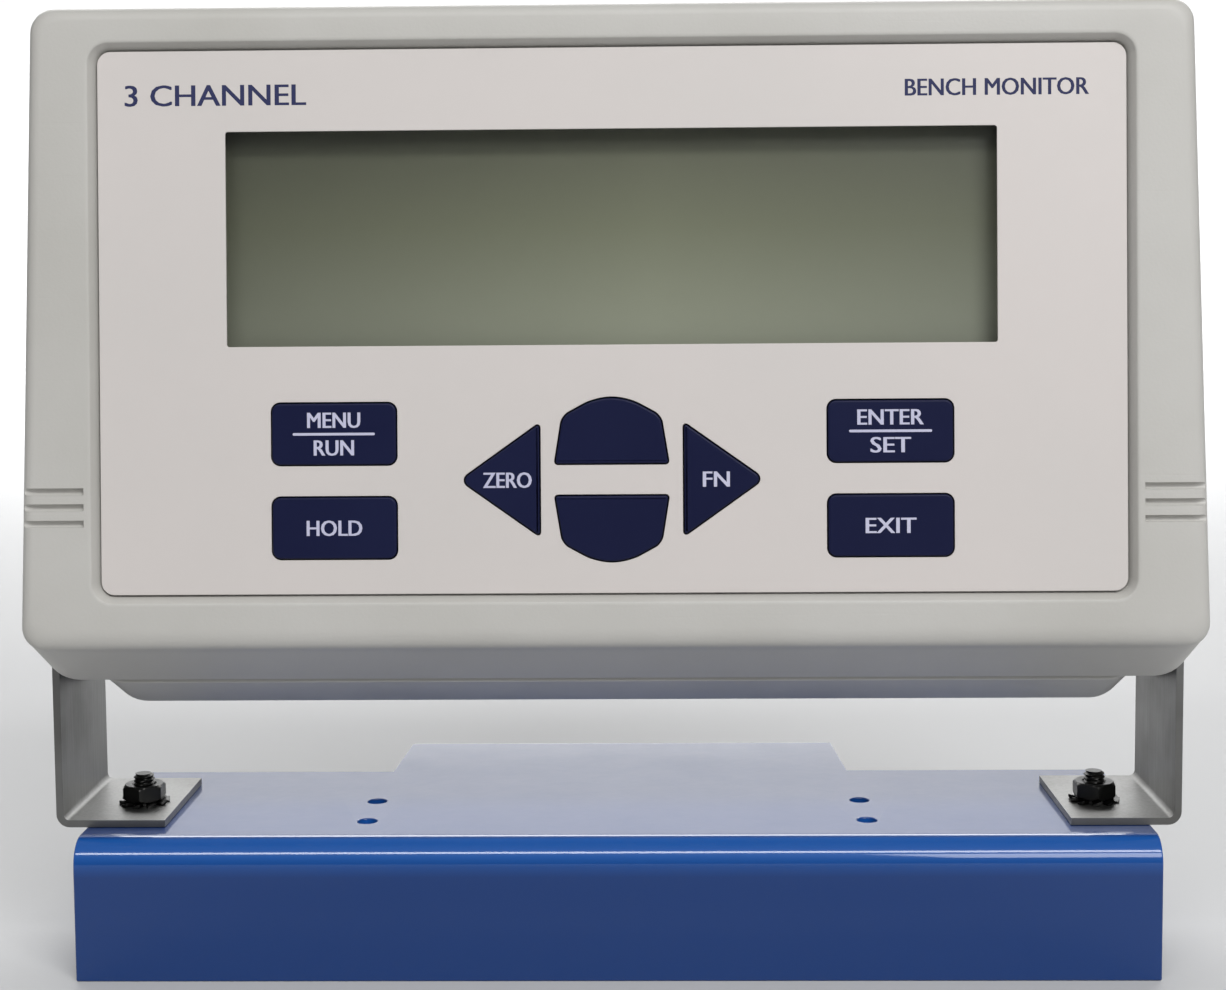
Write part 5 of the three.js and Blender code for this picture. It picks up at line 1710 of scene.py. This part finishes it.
# %% Sensor sockets
RIB_PLAN = rectangle(0.6, 0, 0.9, 0.15)
PIN_CIRCLE, PIN_COUNT = 2.9, 6
for number in (1, 2, 3):
    low, high = case_box(f"sensor_socket_{number}")
    x, z, outer = (low[0] + high[0]) / 2, (low[2] + high[2]) / 2, (high[0] - low[0]) / 2
    end, length = high[1], high[1] - low[1]
    shell = turned([(0.01, -length), (6.3, -length), (6.6, 0.3 - length), (6.6, -3.05), (outer - 0.2, -3.0),
                    (outer, -2.8), (outer, -0.6), (outer - 0.3, -0.15), (outer - 0.7, 0.0), (7.1, 0.0),
                    (6.9, -0.5), (6.2, -0.5), (6.0, 0.0), (5.3, 0.0), (5.0, -0.3), (5.0, -7.0),
                    (0.01, -7.0)], 96)
    piece_of(f"socket_shell_{number}", laid_along_y(shell, x, end, z), case_place, nickel_plate, "monitor",
             "nickel_plate", f"sensor_socket_{number}")
    insert = turned([(0.01, -6.9), (4.7, -6.9), (4.75, -6.8), (4.75, -3.6), (4.5, -3.4), (0.01, -3.4)], 64)
    rib_rings = [np.column_stack([RIB_PLAN, np.full(len(RIB_PLAN), height)]) for height in (-6.9, -1.0)]
    rib = moved(loft(rib_rings, cap_ends=True), y=4.2)
    piece_of(f"socket_insert_{number}", laid_along_y(gathered(insert, rib), x, end, z), case_place,
             black_plastic, "monitor", "black_plastic")
    pin = turned([(0.01, -3.5), (0.42, -3.5), (0.42, -1.1), (0.3, -0.8), (0.01, -0.7)], 16)
    pin_angles = np.arange(PIN_COUNT) / PIN_COUNT * 2 * math.pi
    pins = gathered(*[moved(pin, PIN_CIRCLE * math.cos(a), PIN_CIRCLE * math.sin(a)) for a in pin_angles])
    piece_of(f"socket_pins_{number}", laid_along_y(pins, x, end, z), case_place, insert_brass, "monitor",
             "insert_brass")

# %% [markdown]
# The serial port's shell is a row of D-shaped outlines that step out for the flange and back in again. The
# last stations turn inward and run down the inside.

# %% Serial port
low, high = case_box("serial_port")
port_x, port_z, port_end = (low[0] + high[0]) / 2, (low[2] + high[2]) / 2, high[1]
port_half = np.array([high[0] - low[0], high[2] - low[2]]) / 2


def dee_loop(half_width, half_height, radius):
    """A D-shaped outline: a rectangle whose lower edge is shorter by the slant on each side."""
    corners = [(1.7 - half_width, -half_height), (half_width - 1.7, -half_height), (half_width, half_height),
               (-half_width, half_height)]
    return eased_loop(corners, radius, arc_steps=8, edge_steps=4) + [port_x, port_z]


flange_loop = eased_loop([(-port_half[0], -port_half[1]), (port_half[0], -port_half[1]), tuple(port_half),
                          (-port_half[0], port_half[1])], 2.2, arc_steps=8, edge_steps=4) + [port_x, port_z]
flange_back = port_end - 4.7
stations = [(dee_loop(8.8, 4.3, 1.5), low[1]), (dee_loop(8.8, 4.3, 1.5), flange_back - 0.8),
            (flange_loop, flange_back - 0.8), (flange_loop, flange_back - 0.1),
            (drawn_in(flange_loop, 0.12), flange_back), (dee_loop(9.3, 4.8, 2.0), flange_back),
            (dee_loop(9.0, 4.5, 1.7), flange_back + 0.35), (dee_loop(8.8, 4.3, 1.5), flange_back + 0.8),
            (dee_loop(8.8, 4.3, 1.5), port_end - 0.15), (dee_loop(8.65, 4.15, 1.4), port_end),
            (dee_loop(8.35, 3.85, 1.2), port_end), (dee_loop(8.2, 3.7, 1.1), port_end - 0.15),
            (dee_loop(8.2, 3.7, 1.1), flange_back + 0.6)]
port_shape = loft([at_depth(loop, depth) for loop, depth in stations], cap_ends=True)
piece_of("port_shell", port_shape, case_place, nickel_plate, "monitor", "nickel_plate", "serial_port")
core_loops = [at_depth(dee_loop(8.1, 3.6, 1.0), depth) for depth in (flange_back + 0.65, flange_back + 1.6)]
piece_of("port_core", loft(core_loops, cap_ends=True), case_place, black_plastic, "monitor", "black_plastic")
pin = turned([(0.01, 0), (0.5, 0), (0.5, 3.4), (0.35, 3.9), (0.01, 4.0)], 16)
PIN_STEP, PIN_ROW = 2.74, 1.42
pin_places = [(PIN_STEP * (i - 2), PIN_ROW) for i in range(5)]
pin_places += [(PIN_STEP * (i - 1.5), -PIN_ROW) for i in range(4)]
port_pins = gathered(*[laid_along_y(pin, port_x + across, flange_back + 1.3, port_z + up)
                       for across, up in pin_places])
piece_of("port_pins", port_pins, case_place, insert_brass, "monitor", "insert_brass")
post = hex_nut(5.0, 4.2, 1.4)
posts = gathered(*[laid_along_y(post, port_x + side * 12.5, flange_back, port_z) for side in (-1, 1)])
piece_of("port_posts", posts, case_place, nickel_plate, "monitor", "nickel_plate", angle=25)

# %% [markdown]
# Each way of the terminal block has a clamp screw with a straight slot, above its wire opening.

# %% Terminal screws
low, high = case_box("terminal_block")
WAYS, CLAMP_RISE = 4, 2.6
way_pitch = (high[0] - low[0]) / WAYS
clamp_profile = [(0.01, -1.9), (1.4, -1.9), (1.45, -0.35), (1.3, -0.15), (0.01, -0.15)]
for way in range(WAYS):
    x = low[0] + (way + 0.5) * way_pitch
    z = (low[2] + high[2]) / 2 + CLAMP_RISE
    clamp = laid_along_y(turned(clamp_profile, 32), x, high[1], z)
    mesh = to_mesh(f"clamp_screw_{way + 1}", clamp, case_place)
    screw = new_object(mesh.name, mesh)
    slot_plan = np.array([(-2, -0.22), (2, -0.22), (2, 0.22), (-2, 0.22)])
    slot_rings = [np.column_stack([slot_plan, np.full(len(slot_plan), height)]) for height in (-0.6, 0.5)]
    cut(screw, laid_along_y(loft(slot_rings, cap_ends=True), x, high[1], z), case_place)
    smoothed(screw.data, 30)
    finish_piece(screw, nickel_plate, "monitor", "nickel_plate")

# %% [markdown]
# ## Finishing the CAD nodes that stay
# The remaining nodes already have the right shape: the pane, the display's glass and frame, the boards,
# posts and seal inside the case, and the spacers between case and straps. They keep their meshes and take
# the finishes above.

# %% Finishes on CAD nodes
NODE_FINISHES = {
    "display_pane": clear_pane, "display_glass": display_olive, "display_frame": black_plastic,
    "display_board": board_green, "main_board": board_green, "key_dome_sheet": black_rubber,
    "case_seal": black_rubber, "sounder": black_plastic, "connector_plate": black_plastic,
    "terminal_block": terminal_green, "power_jack": black_plastic,
}
for label in ("left", "right"):
    NODE_FINISHES[f"side_spacer_{label}"] = black_rubber
    NODE_FINISHES[f"pivot_insert_{label}"] = insert_brass
    for row in ("lower", "upper"):
        NODE_FINISHES[f"board_post_{row}_{label}"] = nickel_plate
for node, material in NODE_FINISHES.items():
    mesh = frame["nodes"][node].data
    mesh.materials.clear()
    mesh.materials.append(material)
print(len(NODE_FINISHES), "CAD nodes finished")
